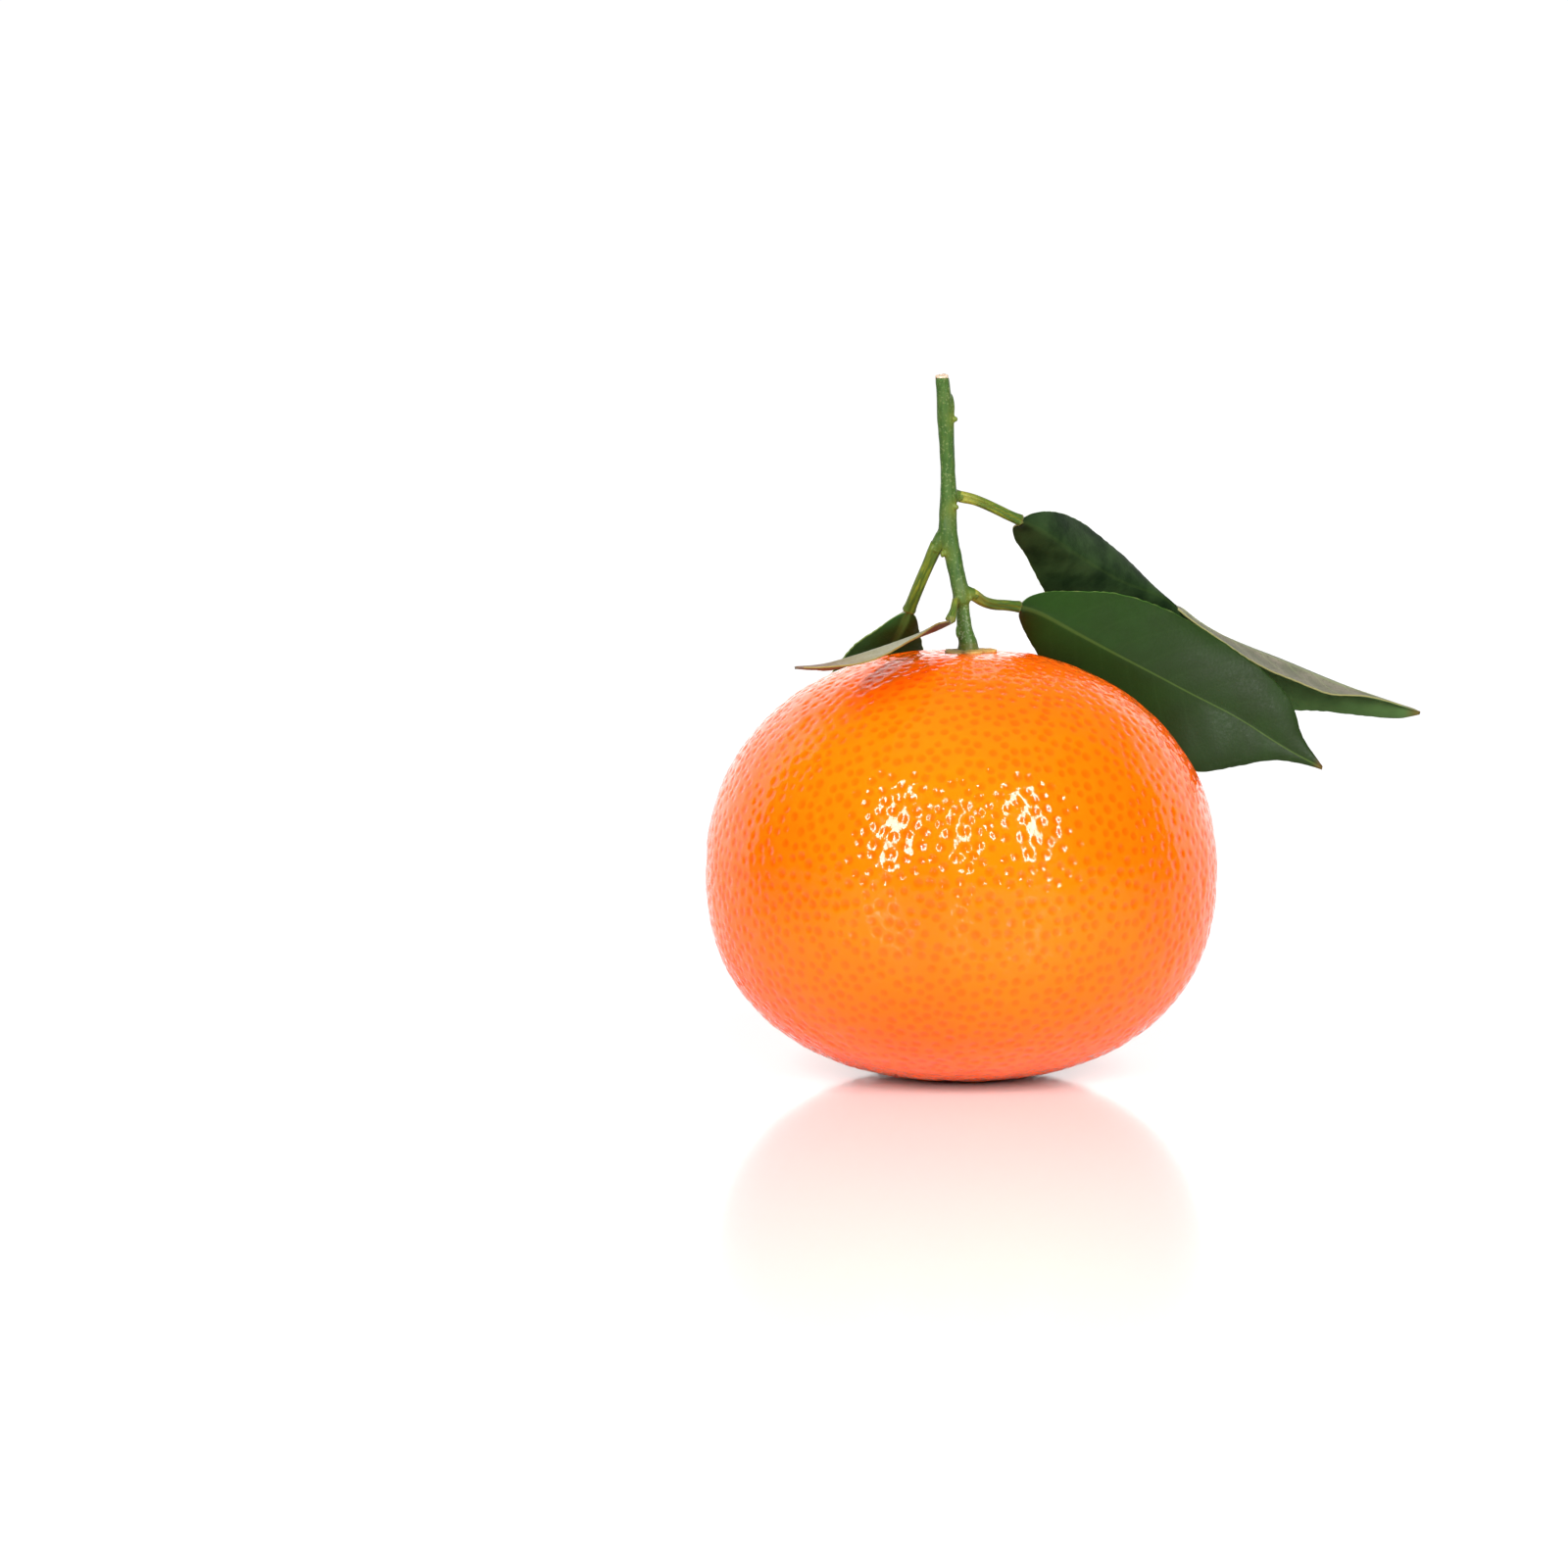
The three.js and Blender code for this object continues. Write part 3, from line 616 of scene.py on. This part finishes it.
def mark_cut_end(twig):
    """The second material shows on the cut at the top."""
    heights = np.array([face.center.z for face in twig.data.polygons])
    twig.data.polygons.foreach_set("material_index", (heights > CUT_START_Z * MM).astype(np.int32))


# Leaves

def blade_grid(leaf):
    """The blade's middle sheet, with its normals, the width there and each point's place along and across."""
    rib, left, right = (smooth_curve(leaf[line]) for line in ("rib", "left", "right"))
    rows = int(rib[1][-1] / BLADE_STEP)
    shares = np.linspace(0, 1, rows)
    middle, left_edge, right_edge = (along(curve, shares) for curve in (rib, left, right))
    across = np.sin(np.linspace(-1, 1, BLADE_COLUMNS) * math.pi / 2)
    across = 0.5 * across + 0.5 * np.linspace(-1, 1, BLADE_COLUMNS)
    sheet = np.empty((rows, BLADE_COLUMNS, 3))
    for column, place in enumerate(across):
        edge = right_edge if place > 0 else left_edge
        sheet[:, column] = middle + (edge - middle) * abs(place)
    lengthwise = np.gradient(sheet, axis=0)
    sidewise = np.gradient(sheet, axis=1)
    normals = unit(np.cross(sidewise, lengthwise))
    widths = np.stack([np.linalg.norm(left_edge - middle, axis=1), np.linalg.norm(right_edge - middle, axis=1)])
    return sheet, normals, widths, shares * rib[1][-1], across


def blade_relief(run, reach, across, seed):
    """How far side veins, the swelling between them and slow waves push the blade's skin upwards."""
    spots = np.stack([run, reach, np.full_like(run, seed)], axis=-1)
    bent = SIDE_VEIN_SLANT * np.abs(reach) + SIDE_VEIN_BEND * reach ** 2
    phase = (run - bent + 0.35 * noise_at(spots * 0.12)) / SIDE_VEIN_SPACING + 0.5 * (across > 0)
    from_vein = np.abs(phase - np.round(phase)) * SIDE_VEIN_SPACING
    fade = np.minimum(1.0, np.abs(reach) / 1.2) * (1 - across ** 4)
    vein = SIDE_VEIN_RELIEF * np.exp(-(from_vein / SIDE_VEIN_HALF_WIDTH) ** 2) * fade
    quilt = -QUILT_HEIGHT * np.cos(2 * np.pi * phase) * fade
    waves = np.stack([run * 0.16, 2.0 * across, np.full_like(run, seed + 3.0)], axis=-1)
    ripple = RIPPLE_HEIGHT * across ** 2 * noise_at(waves)
    return quilt - vein + ripple, vein


def blade_skins(leaf, seed):
    """The blade's upper and lower skins, and each point's place along and across the blade."""
    sheet, normals, widths, runs, columns_across = blade_grid(leaf)
    across = np.broadcast_to(columns_across, sheet.shape[:2])
    run = np.broadcast_to(runs[:, None], sheet.shape[:2])
    share = run / runs[-1]
    width = np.where(across > 0, widths[1][:, None], widths[0][:, None])
    reach = across * width
    taper = np.minimum(1.0, np.minimum(4 * share, 6 * (1 - share)))
    relief, vein = blade_relief(run, reach, across, seed)
    teeth = np.sin(2 * np.pi * (run + 0.6 * np.sin(run)) / MARGIN_TOOTH_LENGTH + seed)
    outward = unit(sheet - sheet[:, BLADE_COLUMNS // 2][:, None]) * (across ** 8)[..., None]
    centre = sheet + outward * (MARGIN_TOOTH * teeth * taper - MARGIN_INSET)[..., None]
    half = 0.5 * (BLADE_THICKNESS - (BLADE_THICKNESS - BLADE_EDGE_THICKNESS) * across ** 4)
    half = half * (0.6 + 0.4 * np.minimum(1.0, 8 * (1 - share)))
    belly = leaf["belly"] * width * 4 * np.abs(across) * (1 - np.abs(across))
    lift = belly + relief * taper
    rib = leaf["rib_height"] * (1 - RIB_TAPER * share) * np.exp(-(reach / RIB_HALF_WIDTH) ** 2)
    furrow = FURROW_DEPTH * (1 - share) * np.exp(-(reach / FURROW_HALF_WIDTH) ** 2)
    top = centre + normals * (half + lift - furrow)[..., None]
    bottom = centre - normals * (half - lift + rib + vein * taper)[..., None]
    edge = np.abs(across) * np.minimum(1.0, width / 0.8)
    tooth = np.maximum(teeth, 0.0) ** 4 * across ** 12
    dry_tip = np.minimum(1.0, (share / DRY_TIP_START) ** 6)
    dry = leaf["dryness"] * np.maximum(dry_tip, np.exp(-((share - 0.13) / 0.1) ** 2))
    dry = np.maximum(dry, np.maximum(0.0, share - 0.97) * 20)
    return sheet, normals, top, bottom, {"run": run, "reach": reach, "edge": edge, "share": share,
                                         "tooth": tooth, "dry": dry}


def make_leaf(name, leaf, seed):
    sheet, normals, top, bottom, places = blade_skins(leaf, seed)
    stalk, stalk_runs = stalk_rings(leaf, sheet, normals, BLADE_COLUMNS)
    blade = np.concatenate([top, bottom[:, ::-1]], axis=1)
    rings = np.concatenate([np.array(stalk), blade])
    piece = mesh_object(name, rings.reshape(-1, 3), ring_faces(len(rings), rings.shape[1]))
    stalk_points = len(stalk) * rings.shape[1]
    on_stalk = {"run": np.repeat(stalk_runs, rings.shape[1])}
    from_start = on_stalk["run"] - on_stalk["run"][0]
    for key, values in places.items():
        both = np.concatenate([values, values[:, ::-1]], axis=1).ravel()
        add_attribute(piece, key, np.concatenate([on_stalk.get(key, np.zeros(stalk_points)), both]))
    turns = np.tile(np.arange(rings.shape[1]) / rings.shape[1], len(stalk))
    on_blade = np.zeros(len(piece.data.vertices) - stalk_points)
    add_attribute(piece, "turn", np.concatenate([turns, on_blade]))
    add_attribute(piece, "start", np.concatenate([np.exp(-(from_start / leaf["start_reach"]) ** 2), on_blade]))
    dress(piece, name, "leaf", leaf_top_material(name, leaf), leaf_under_material(name, leaf),
          stalk_material(name, leaf))
    paint_leaf_faces(piece, len(stalk), len(blade), BLADE_COLUMNS)
    return piece


def stalk_rings(leaf, sheet, normals, columns):
    """Rings of the stalk with as many points as the blade's outline, laid the same way round."""
    curve = smooth_curve(leaf["stalk"])
    steps = int(curve[1][-1] / STALK_STEP)
    shares = np.linspace(0, 1, steps, endpoint=False)
    centres = along(curve, shares)
    tangents = unit(np.gradient(along(curve, np.linspace(0, 1, steps + 1)), axis=0))[:-1]
    blade_across = unit(sheet[6, -1] - sheet[6, 0])
    blade_normal = normals[4, columns // 2]
    start_inside = 0.9
    centres = np.vstack([centres[0] - tangents[0] * start_inside, centres])
    tangents = np.vstack([tangents[0], tangents])
    shares = np.concatenate([[0.0], shares])
    rings = []
    turns = math.pi - math.pi * (np.arange(2 * columns) + 0.5) / columns
    for centre, tangent, share in zip(centres, tangents, shares):
        side = unit(blade_across - np.dot(blade_across, tangent) * tangent)
        up = np.cross(side, tangent)
        if np.dot(up, blade_normal) < 0:
            up = -up
        flare = leaf["stalk_flare"] * math.exp(-((1 - share) * curve[1][-1] / leaf["flare_reach"]) ** 2)
        swell = 1 + flare + 0.1 * math.exp(-(share / 0.15) ** 2)
        radius = leaf["stalk_radius"] * swell
        groove = 0.22 * np.exp(-((turns - math.pi / 2) / 0.5) ** 2) + 0.03 * np.cos(7 * turns)
        rings.append(centre + radius * (np.outer(np.cos(turns), side)
                                        + np.outer(np.sin(turns) * (1 - groove), up)))
    return rings, np.concatenate([[-curve[1][-1] - start_inside], (shares[1:] - 1) * curve[1][-1]])


def paint_leaf_faces(piece, stalk_count, rows, columns):
    """Upper face, underside and stalk each have their own material."""
    ring_size = 2 * columns
    materials = []
    for ring in range(stalk_count + rows - 1):
        for side in range(ring_size):
            if ring < stalk_count:
                materials.append(2)
            else:
                materials.append(0 if side < columns - 1 else 1)
    materials += [2, 1]
    piece.data.polygons.foreach_set("material_index", materials)


# Materials

def new_material(name):
    material = bpy.data.materials.new(name)
    material.use_nodes = True
    tree = material.node_tree
    tree.nodes.clear()
    output = tree.nodes.new("ShaderNodeOutputMaterial")
    shader = tree.nodes.new("ShaderNodeBsdfPrincipled")
    tree.links.new(shader.outputs[0], output.inputs["Surface"])
    return material, tree, shader


def node(tree, kind, **values):
    made = tree.nodes.new(kind)
    for key, value in values.items():
        setattr(made, key, value)
    return made


def attribute(tree, name):
    return node(tree, "ShaderNodeAttribute", attribute_name=name).outputs["Fac"]


def mix(tree, factor, first, second, mode="MIX"):
    """A colour between two, by a number or a socket; each colour is a socket or (r, g, b)."""
    made = node(tree, "ShaderNodeMix", data_type="RGBA", blend_type=mode)
    for socket, value in ((made.inputs[0], factor), (made.inputs[6], first), (made.inputs[7], second)):
        put(tree, socket, value)
    return made.outputs[2]


def put(tree, socket, value):
    if isinstance(value, bpy.types.NodeSocket):
        tree.links.new(value, socket)
    elif isinstance(value, tuple):
        socket.default_value = value + (1.0,) if len(value) == 3 and socket.type == "RGBA" else value
    else:
        socket.default_value = value


def maths(tree, operation, first, second=0.0, third=0.0):
    made = node(tree, "ShaderNodeMath", operation=operation)
    for socket, value in zip(made.inputs, (first, second, third)):
        put(tree, socket, value)
    return made.outputs[0]


def ramp(tree, value, low, high, to_low=0.0, to_high=1.0):
    made = node(tree, "ShaderNodeMapRange", interpolation_type="SMOOTHSTEP")
    for socket, given in zip(made.inputs, (value, low, high, to_low, to_high)):
        put(tree, socket, given)
    return made.outputs[0]


def noise_texture(tree, scale, detail=3.0, roughness=0.5, stretch=None):
    """Noise over the object, its scale in cells per metre."""
    place = node(tree, "ShaderNodeTexCoord").outputs["Object"]
    if stretch:
        mapping = node(tree, "ShaderNodeMapping")
        mapping.inputs["Scale"].default_value = stretch
        tree.links.new(place, mapping.inputs["Vector"])
        place = mapping.outputs[0]
    made = node(tree, "ShaderNodeTexNoise")
    tree.links.new(place, made.inputs["Vector"])
    made.inputs["Scale"].default_value = scale
    made.inputs["Detail"].default_value = detail
    made.inputs["Roughness"].default_value = roughness
    return made.outputs["Fac"]


def bump(tree, shader, height, strength, distance):
    made = node(tree, "ShaderNodeBump")
    made.inputs["Strength"].default_value = strength
    made.inputs["Distance"].default_value = distance
    tree.links.new(height, made.inputs["Height"])
    tree.links.new(made.outputs[0], shader.inputs["Normal"])


def set_shader(shader, **values):
    for key, value in values.items():
        shader.inputs[key.replace("_", " ")].default_value = value


def peel_material():
    material, tree, shader = new_material("mandarin_peel")
    inside = gland_depth(tree)
    broad = noise_texture(tree, 45.0, 2.0)
    fine = noise_texture(tree, 900.0, 3.0)
    between = mix(tree, ramp(tree, broad, 0.35, 0.65), (0.93, 0.11, 0.001), (0.95, 0.13, 0.0013))
    pit = mix(tree, ramp(tree, broad, 0.35, 0.65), (0.9, 0.078, 0.0008), (0.92, 0.096, 0.001))
    spot = ramp(tree, maths(tree, "ADD", inside, maths(tree, "MULTIPLY", fine, 0.4)), 0.2, 1.15)
    colour = mix(tree, spot, between, pit)
    tree.links.new(colour, shader.inputs["Base Color"])
    roughness = ramp(tree, noise_texture(tree, 1500.0, 2.0), 0.3, 0.7, 0.05, 0.09)
    tree.links.new(roughness, shader.inputs["Roughness"])
    set_shader(shader, IOR=1.5, Specular_IOR_Level=0.2, Subsurface_Weight=0.12, Subsurface_Scale=0.0015)
    shader.inputs["Subsurface Radius"].default_value = (1.0, 0.3, 0.06)
    dish = maths(tree, "MULTIPLY", maths(tree, "POWER", inside, 2.0), -GLAND_FINE_DEPTH * MM)
    grain = maths(tree, "MULTIPLY", noise_texture(tree, 2600.0, 2.0), 0.004 * MM)
    swell = maths(tree, "MULTIPLY", noise_texture(tree, 500.0, 1.0), 0.12 * MM)
    ripple = maths(tree, "MULTIPLY", noise_texture(tree, 1300.0, 1.0), 0.02 * MM)
    height = maths(tree, "ADD", maths(tree, "ADD", dish, grain), maths(tree, "ADD", swell, ripple))
    bump(tree, shader, height, 1.0, 1.0)
    return material


def gland_depth(tree):
    """From 0 at the rim of a gland to 1 in its middle, by the distance to the middle of the nearest one."""
    middle = node(tree, "ShaderNodeAttribute", attribute_name="gland_middle").outputs["Vector"]
    away = node(tree, "ShaderNodeVectorMath", operation="DISTANCE")
    tree.links.new(node(tree, "ShaderNodeTexCoord").outputs["Object"], away.inputs[0])
    tree.links.new(middle, away.inputs[1])
    share = maths(tree, "DIVIDE", away.outputs["Value"], attribute(tree, "gland_radius"))
    return maths(tree, "MAXIMUM", maths(tree, "SUBTRACT", 1.0, maths(tree, "POWER", share, 2.0)), 0.0)


def calyx_material():
    material, tree, shader = new_material("calyx")
    blotch = noise_texture(tree, 420.0, 3.0)
    fine = noise_texture(tree, 1800.0, 3.0)
    split = node(tree, "ShaderNodeSeparateXYZ")
    tree.links.new(node(tree, "ShaderNodeTexCoord").outputs["Object"], split.inputs[0])
    rightward = maths(tree, "ADD", split.outputs["X"], maths(tree, "MULTIPLY", blotch, 3.0 * MM))
    green_brown = mix(tree, fine, (0.15, 0.1, 0.025), (0.26, 0.18, 0.05))
    ochre = mix(tree, fine, (0.3, 0.16, 0.03), (0.45, 0.28, 0.07))
    side = ramp(tree, rightward, 1.6 * MM, 3.0 * MM)
    tree.links.new(mix(tree, side, green_brown, ochre), shader.inputs["Base Color"])
    set_shader(shader, Roughness=0.7, Subsurface_Weight=0.1, Subsurface_Scale=0.0008)
    bump(tree, shader, fine, 0.5, 0.0002)
    return material


def bark_material():
    material, tree, shader = new_material("green_bark")
    streak = noise_texture(tree, 1.0, 3.0, 0.6, stretch=(2200.0, 2200.0, 260.0))
    blotch = noise_texture(tree, 260.0, 3.0)
    speck = noise_texture(tree, 3200.0, 1.0)
    split = node(tree, "ShaderNodeSeparateXYZ")
    tree.links.new(node(tree, "ShaderNodeTexCoord").outputs["Object"], split.inputs[0])
    height = split.outputs["Z"]
    green = mix(tree, ramp(tree, streak, 0.3, 0.7), (0.022, 0.058, 0.009), (0.04, 0.083, 0.014))
    green = mix(tree, ramp(tree, blotch, 0.45, 0.7, 0.0, 0.6), green, (0.058, 0.09, 0.018))
    green = mix(tree, ramp(tree, speck, 0.58, 0.66, 0.0, 0.45), green, (0.13, 0.17, 0.06))
    stalk = ramp(tree, height, (PEDICEL_TOP_Z + 0.15) * MM, (PEDICEL_TOP_Z - 0.15) * MM)
    pale = mix(tree, ramp(tree, speck, 0.52, 0.66, 0.0, 0.75), (0.04, 0.085, 0.014), (0.15, 0.19, 0.1))
    green = mix(tree, stalk, green, pale)
    foot = ramp(tree, height, (PEDICEL_FOOT_Z + 0.7) * MM, PEDICEL_FOOT_Z * MM)
    green = mix(tree, maths(tree, "MULTIPLY", foot, 0.5), green, (0.1, 0.085, 0.015))
    axil = maths(tree, "MULTIPLY", attribute(tree, "axil"), 0.75)
    green = mix(tree, axil, green, (0.115, 0.14, 0.017))
    tree.links.new(green, shader.inputs["Base Color"])
    set_shader(shader, Roughness=0.4, Specular_IOR_Level=0.15, Subsurface_Weight=0.08, Subsurface_Scale=0.0006)
    bump(tree, shader, streak, 0.35, 0.00012)
    return material


def cut_wood_material():
    material, tree, shader = new_material("cut_wood")
    fibre = noise_texture(tree, 2600.0, 3.0)
    tree.links.new(mix(tree, fibre, (0.34, 0.22, 0.14), (0.6, 0.5, 0.38)), shader.inputs["Base Color"])
    set_shader(shader, Roughness=0.8, Subsurface_Weight=0.15, Subsurface_Scale=0.0006)
    bump(tree, shader, fibre, 0.6, 0.0002)
    return material


def side_veins(tree):
    """How close a point lies to a side vein, from 0 to 1, out of its place along and across the blade."""
    run, reach = attribute(tree, "run"), attribute(tree, "reach")
    wide = maths(tree, "ABSOLUTE", reach)
    slanted = maths(tree, "SUBTRACT", run, maths(tree, "MULTIPLY", wide, SIDE_VEIN_SLANT))
    slanted = maths(tree, "SUBTRACT", slanted, maths(tree, "MULTIPLY", maths(tree, "POWER", wide, 2.0), 0.05))
    wobble = maths(tree, "MULTIPLY", noise_texture(tree, 140.0, 2.0), 1.1)
    phase = maths(tree, "DIVIDE", maths(tree, "ADD", slanted, wobble), SIDE_VEIN_SPACING)
    side = maths(tree, "MULTIPLY", maths(tree, "GREATER_THAN", reach, 0.0), 0.5)
    cycle = maths(tree, "PINGPONG", maths(tree, "ADD", phase, side), 0.5)
    return ramp(tree, cycle, 0.0, 0.1, 1.0, 0.0)


def leaf_top_material(name, leaf):
    material, tree, shader = new_material(name + "_upper_face")
    wide = maths(tree, "ABSOLUTE", attribute(tree, "reach"))
    share = attribute(tree, "share")
    rib_width = ramp(tree, share, 0.0, 0.6, leaf["rib_width"], 0.13)
    rib = ramp(tree, maths(tree, "DIVIDE", wide, rib_width), 0.3, 1.0, leaf["rib_shine"], 0.0)
    veins = side_veins(tree)
    mottle = noise_texture(tree, 230.0, 4.0)
    fine = noise_texture(tree, 2400.0, 2.0)
    # Random mottle plus painted light: along painted_light_span the upper face moves from its first colour to its
    # second, lightening the stretch of blade that the fold or the fruit shades
    mottle_and_painted_light = maths(tree, "ADD", ramp(tree, mottle, 0.3, 0.7, 0.0, 0.3), ramp(tree, share, *leaf["painted_light_span"], 0.0, 0.7))
    green = mix(tree, mottle_and_painted_light, *leaf["upper_face"])
    green = mix(tree, maths(tree, "MULTIPLY", veins, 0.06), green, (0.03, 0.06, 0.015))
    green = mix(tree, rib, green, leaf["rib_tint"])
    edge = ramp(tree, attribute(tree, "edge"), 0.972, 1.0)
    edge = maths(tree, "MULTIPLY", edge, ramp(tree, share, 0.2, 0.6, 1.0, 0.15))
    green = mix(tree, edge, green, leaf["margin"])
    tooth = maths(tree, "MULTIPLY", attribute(tree, "tooth"), edge)
    green = mix(tree, tooth, green, (0.16, 0.19, 0.06))
    specks = ramp(tree, noise_texture(tree, 3000.0, 2.0), 0.56, 0.66, 0.0, 0.6 * leaf["dryness"])
    green = mix(tree, specks, green, (0.07, 0.06, 0.03))
    green = mix(tree, attribute(tree, "dry"), green, (0.125, 0.05, 0.014))
    tree.links.new(green, shader.inputs["Base Color"])
    roughness = ramp(tree, fine, 0.3, 0.7, 0.34, 0.46)
    tree.links.new(roughness, shader.inputs["Roughness"])
    set_shader(shader, Specular_IOR_Level=leaf["gloss"])
    cells = node(tree, "ShaderNodeTexVoronoi")
    tree.links.new(node(tree, "ShaderNodeTexCoord").outputs["Object"], cells.inputs["Vector"])
    cells.inputs["Scale"].default_value = 2600.0
    height = maths(tree, "ADD", maths(tree, "MULTIPLY", cells.outputs["Distance"], 0.4), mottle)
    bump(tree, shader, height, 0.25, 0.0001)
    return material


def leaf_under_material(name, leaf):
    material, tree, shader = new_material(name + "_underside")
    wide = maths(tree, "ABSOLUTE", attribute(tree, "reach"))
    rib = ramp(tree, wide, 0.2, 0.7, 1.0, 0.0)
    veins = side_veins(tree)
    mottle = noise_texture(tree, 300.0, 4.0)
    specks = noise_texture(tree, 3000.0, 2.0)
    green = mix(tree, ramp(tree, mottle, 0.3, 0.7), *leaf["underside"])
    green = mix(tree, ramp(tree, specks, 0.56, 0.66, 0.0, 0.55), green, (0.06, 0.07, 0.03))
    green = mix(tree, maths(tree, "MULTIPLY", veins, 0.4), green, (0.18, 0.21, 0.1))
    green = mix(tree, rib, green, (0.19, 0.21, 0.11))
    green = mix(tree, maths(tree, "MULTIPLY", attribute(tree, "dry"), 0.9), green, (0.085, 0.045, 0.028))
    edge = ramp(tree, attribute(tree, "edge"), 0.94, 1.0)
    green = mix(tree, edge, green, leaf["rim"])
    tree.links.new(green, shader.inputs["Base Color"])
    set_shader(shader, Roughness=0.6, Specular_IOR_Level=0.3)
    bump(tree, shader, maths(tree, "ADD", specks, veins), 0.3, 0.00012)
    return material


def stalk_material(name, leaf):
    material, tree, shader = new_material(name + "_stalk")
    blotch = noise_texture(tree, 350.0, 3.0)
    speck = noise_texture(tree, 3000.0, 1.0)
    place = node(tree, "ShaderNodeCombineXYZ")
    tree.links.new(maths(tree, "MULTIPLY", attribute(tree, "turn"), 11.0), place.inputs["X"])
    tree.links.new(maths(tree, "MULTIPLY", attribute(tree, "run"), 0.3), place.inputs["Y"])
    streak = node(tree, "ShaderNodeTexNoise")
    tree.links.new(place.outputs[0], streak.inputs["Vector"])
    streak.inputs["Scale"].default_value = 1.0
    green = mix(tree, ramp(tree, blotch, 0.35, 0.65), (0.065, 0.1, 0.01), (0.12, 0.145, 0.014))
    green = mix(tree, ramp(tree, streak.outputs["Fac"], 0.45, 0.58, 0.0, 0.85), green, (0.032, 0.07, 0.011))
    start = maths(tree, "MULTIPLY", attribute(tree, "start"), leaf["start_yellow"])
    green = mix(tree, start, green, (0.2, 0.2, 0.03))
    green = mix(tree, ramp(tree, speck, 0.62, 0.72, 0.0, 0.4), green, (0.07, 0.06, 0.016))
    joint = ramp(tree, maths(tree, "ABSOLUTE", attribute(tree, "run")), 0.1, 0.6, 1.0, 0.0)
    green = mix(tree, joint, green, (0.11, 0.12, 0.028))
    tree.links.new(green, shader.inputs["Base Color"])
    set_shader(shader, Roughness=0.42, Specular_IOR_Level=0.15, Subsurface_Weight=0.08, Subsurface_Scale=0.0006)
    bump(tree, shader, maths(tree, "ADD", blotch, streak.outputs["Fac"]), 0.3, 0.0001)
    return material


# Stage, light and camera

def make_floor():
    reach = 1500.0
    floor = mesh_object("floor", [(-reach, -reach, 0), (reach, -reach, 0), (reach, reach, 0), (-reach, reach, 0)],
                        [(0, 1, 2, 3)], smooth=False)
    material, tree, shader = new_material("white_floor")
    set_shader(shader, Base_Color=(0.75, 0.75, 0.75, 1.0), Roughness=0.12, Specular_IOR_Level=0.22)
    floor.data.materials.append(material)


def make_world():
    world = bpy.data.worlds.new("studio")
    bpy.context.scene.world = world
    world.use_nodes = True
    tree = world.node_tree
    tree.nodes.clear()
    output = tree.nodes.new("ShaderNodeOutputWorld")
    shader = tree.nodes.new("ShaderNodeBackground")
    tree.links.new(shader.outputs[0], output.inputs["Surface"])
    direction = node(tree, "ShaderNodeTexCoord").outputs["Generated"]
    split = node(tree, "ShaderNodeSeparateXYZ")
    tree.links.new(direction, split.inputs[0])
    behind = ramp(tree, split.outputs["Y"], 0.32, 0.36)
    leftward = maths(tree, "MULTIPLY", maths(tree, "MINIMUM", split.outputs["X"], 0.0), LEFT_WALL_LIFT)
    low = ramp(tree, maths(tree, "ADD", split.outputs["Z"], leftward), 0.3, 0.6, 1.0, 0.1)
    wall = maths(tree, "MULTIPLY", behind, low)
    above = ramp(tree, split.outputs["Z"], 0.7, 1.0, 0.0, ABOVE_SHARE)
    lit = maths(tree, "MAXIMUM", maths(tree, "MAXIMUM", wall, above), ROOM_SHARE)
    seen = node(tree, "ShaderNodeLightPath").outputs["Is Camera Ray"]
    plain = mix(tree, lit, (0.0, 0.0, 0.0), (1.0, 1.0, 1.0))
    put(tree, shader.inputs["Color"], mix(tree, seen, plain, (SEEN_SHARE, SEEN_SHARE, SEEN_SHARE)))
    shader.inputs["Strength"].default_value = WALL_STRENGTH


def soft_box(name, azimuth, height, width, length, power):
    """A light that faces the fruit; azimuth 0 is in front of it, positive to the right."""
    light = bpy.data.lights.new(name, "AREA")
    light.shape = "RECTANGLE"
    light.size = width * MM
    light.size_y = length * MM
    light.energy = power
    lamp = bpy.data.objects.new(name, light)
    turn, lift = math.radians(azimuth), math.radians(height)
    way = Vector((math.sin(turn) * math.cos(lift), -math.cos(turn) * math.cos(lift), math.sin(lift)))
    aim = Vector((0.0, 0.0, 0.03))
    lamp.location = aim + way * SOFT_BOX_DISTANCE * MM
    lamp.rotation_euler = (-way).to_track_quat("-Z", "Y").to_euler()
    bpy.context.scene.collection.objects.link(lamp)


def make_camera():
    data = bpy.data.cameras.new("camera")
    data.sensor_width = SENSOR_WIDTH
    data.sensor_fit = "HORIZONTAL"
    data.lens = SENSOR_WIDTH * CAMERA_DISTANCE / FRAME_WIDTH_AT_FRUIT
    camera = bpy.data.objects.new("camera", data)
    aim = Vector(CAMERA_AIM)
    look = Vector((0.0, math.cos(CAMERA_PITCH), -math.sin(CAMERA_PITCH)))
    camera.location = (aim - look * CAMERA_DISTANCE) * MM
    camera.rotation_euler = (math.pi / 2 - CAMERA_PITCH, 0.0, 0.0)
    bpy.context.scene.collection.objects.link(camera)
    bpy.context.scene.camera = camera


make_camera()
make_fruit()
make_calyx()
make_twig()
for seed, (leaf_name, leaf_lines) in enumerate(LEAVES.items()):
    make_leaf(leaf_name, leaf_lines, seed)
make_floor()
make_world()
for box_name, box_values in SOFT_BOXES.items():
    soft_box(box_name, *box_values)
bpy.context.scene.view_settings.view_transform = "Standard"
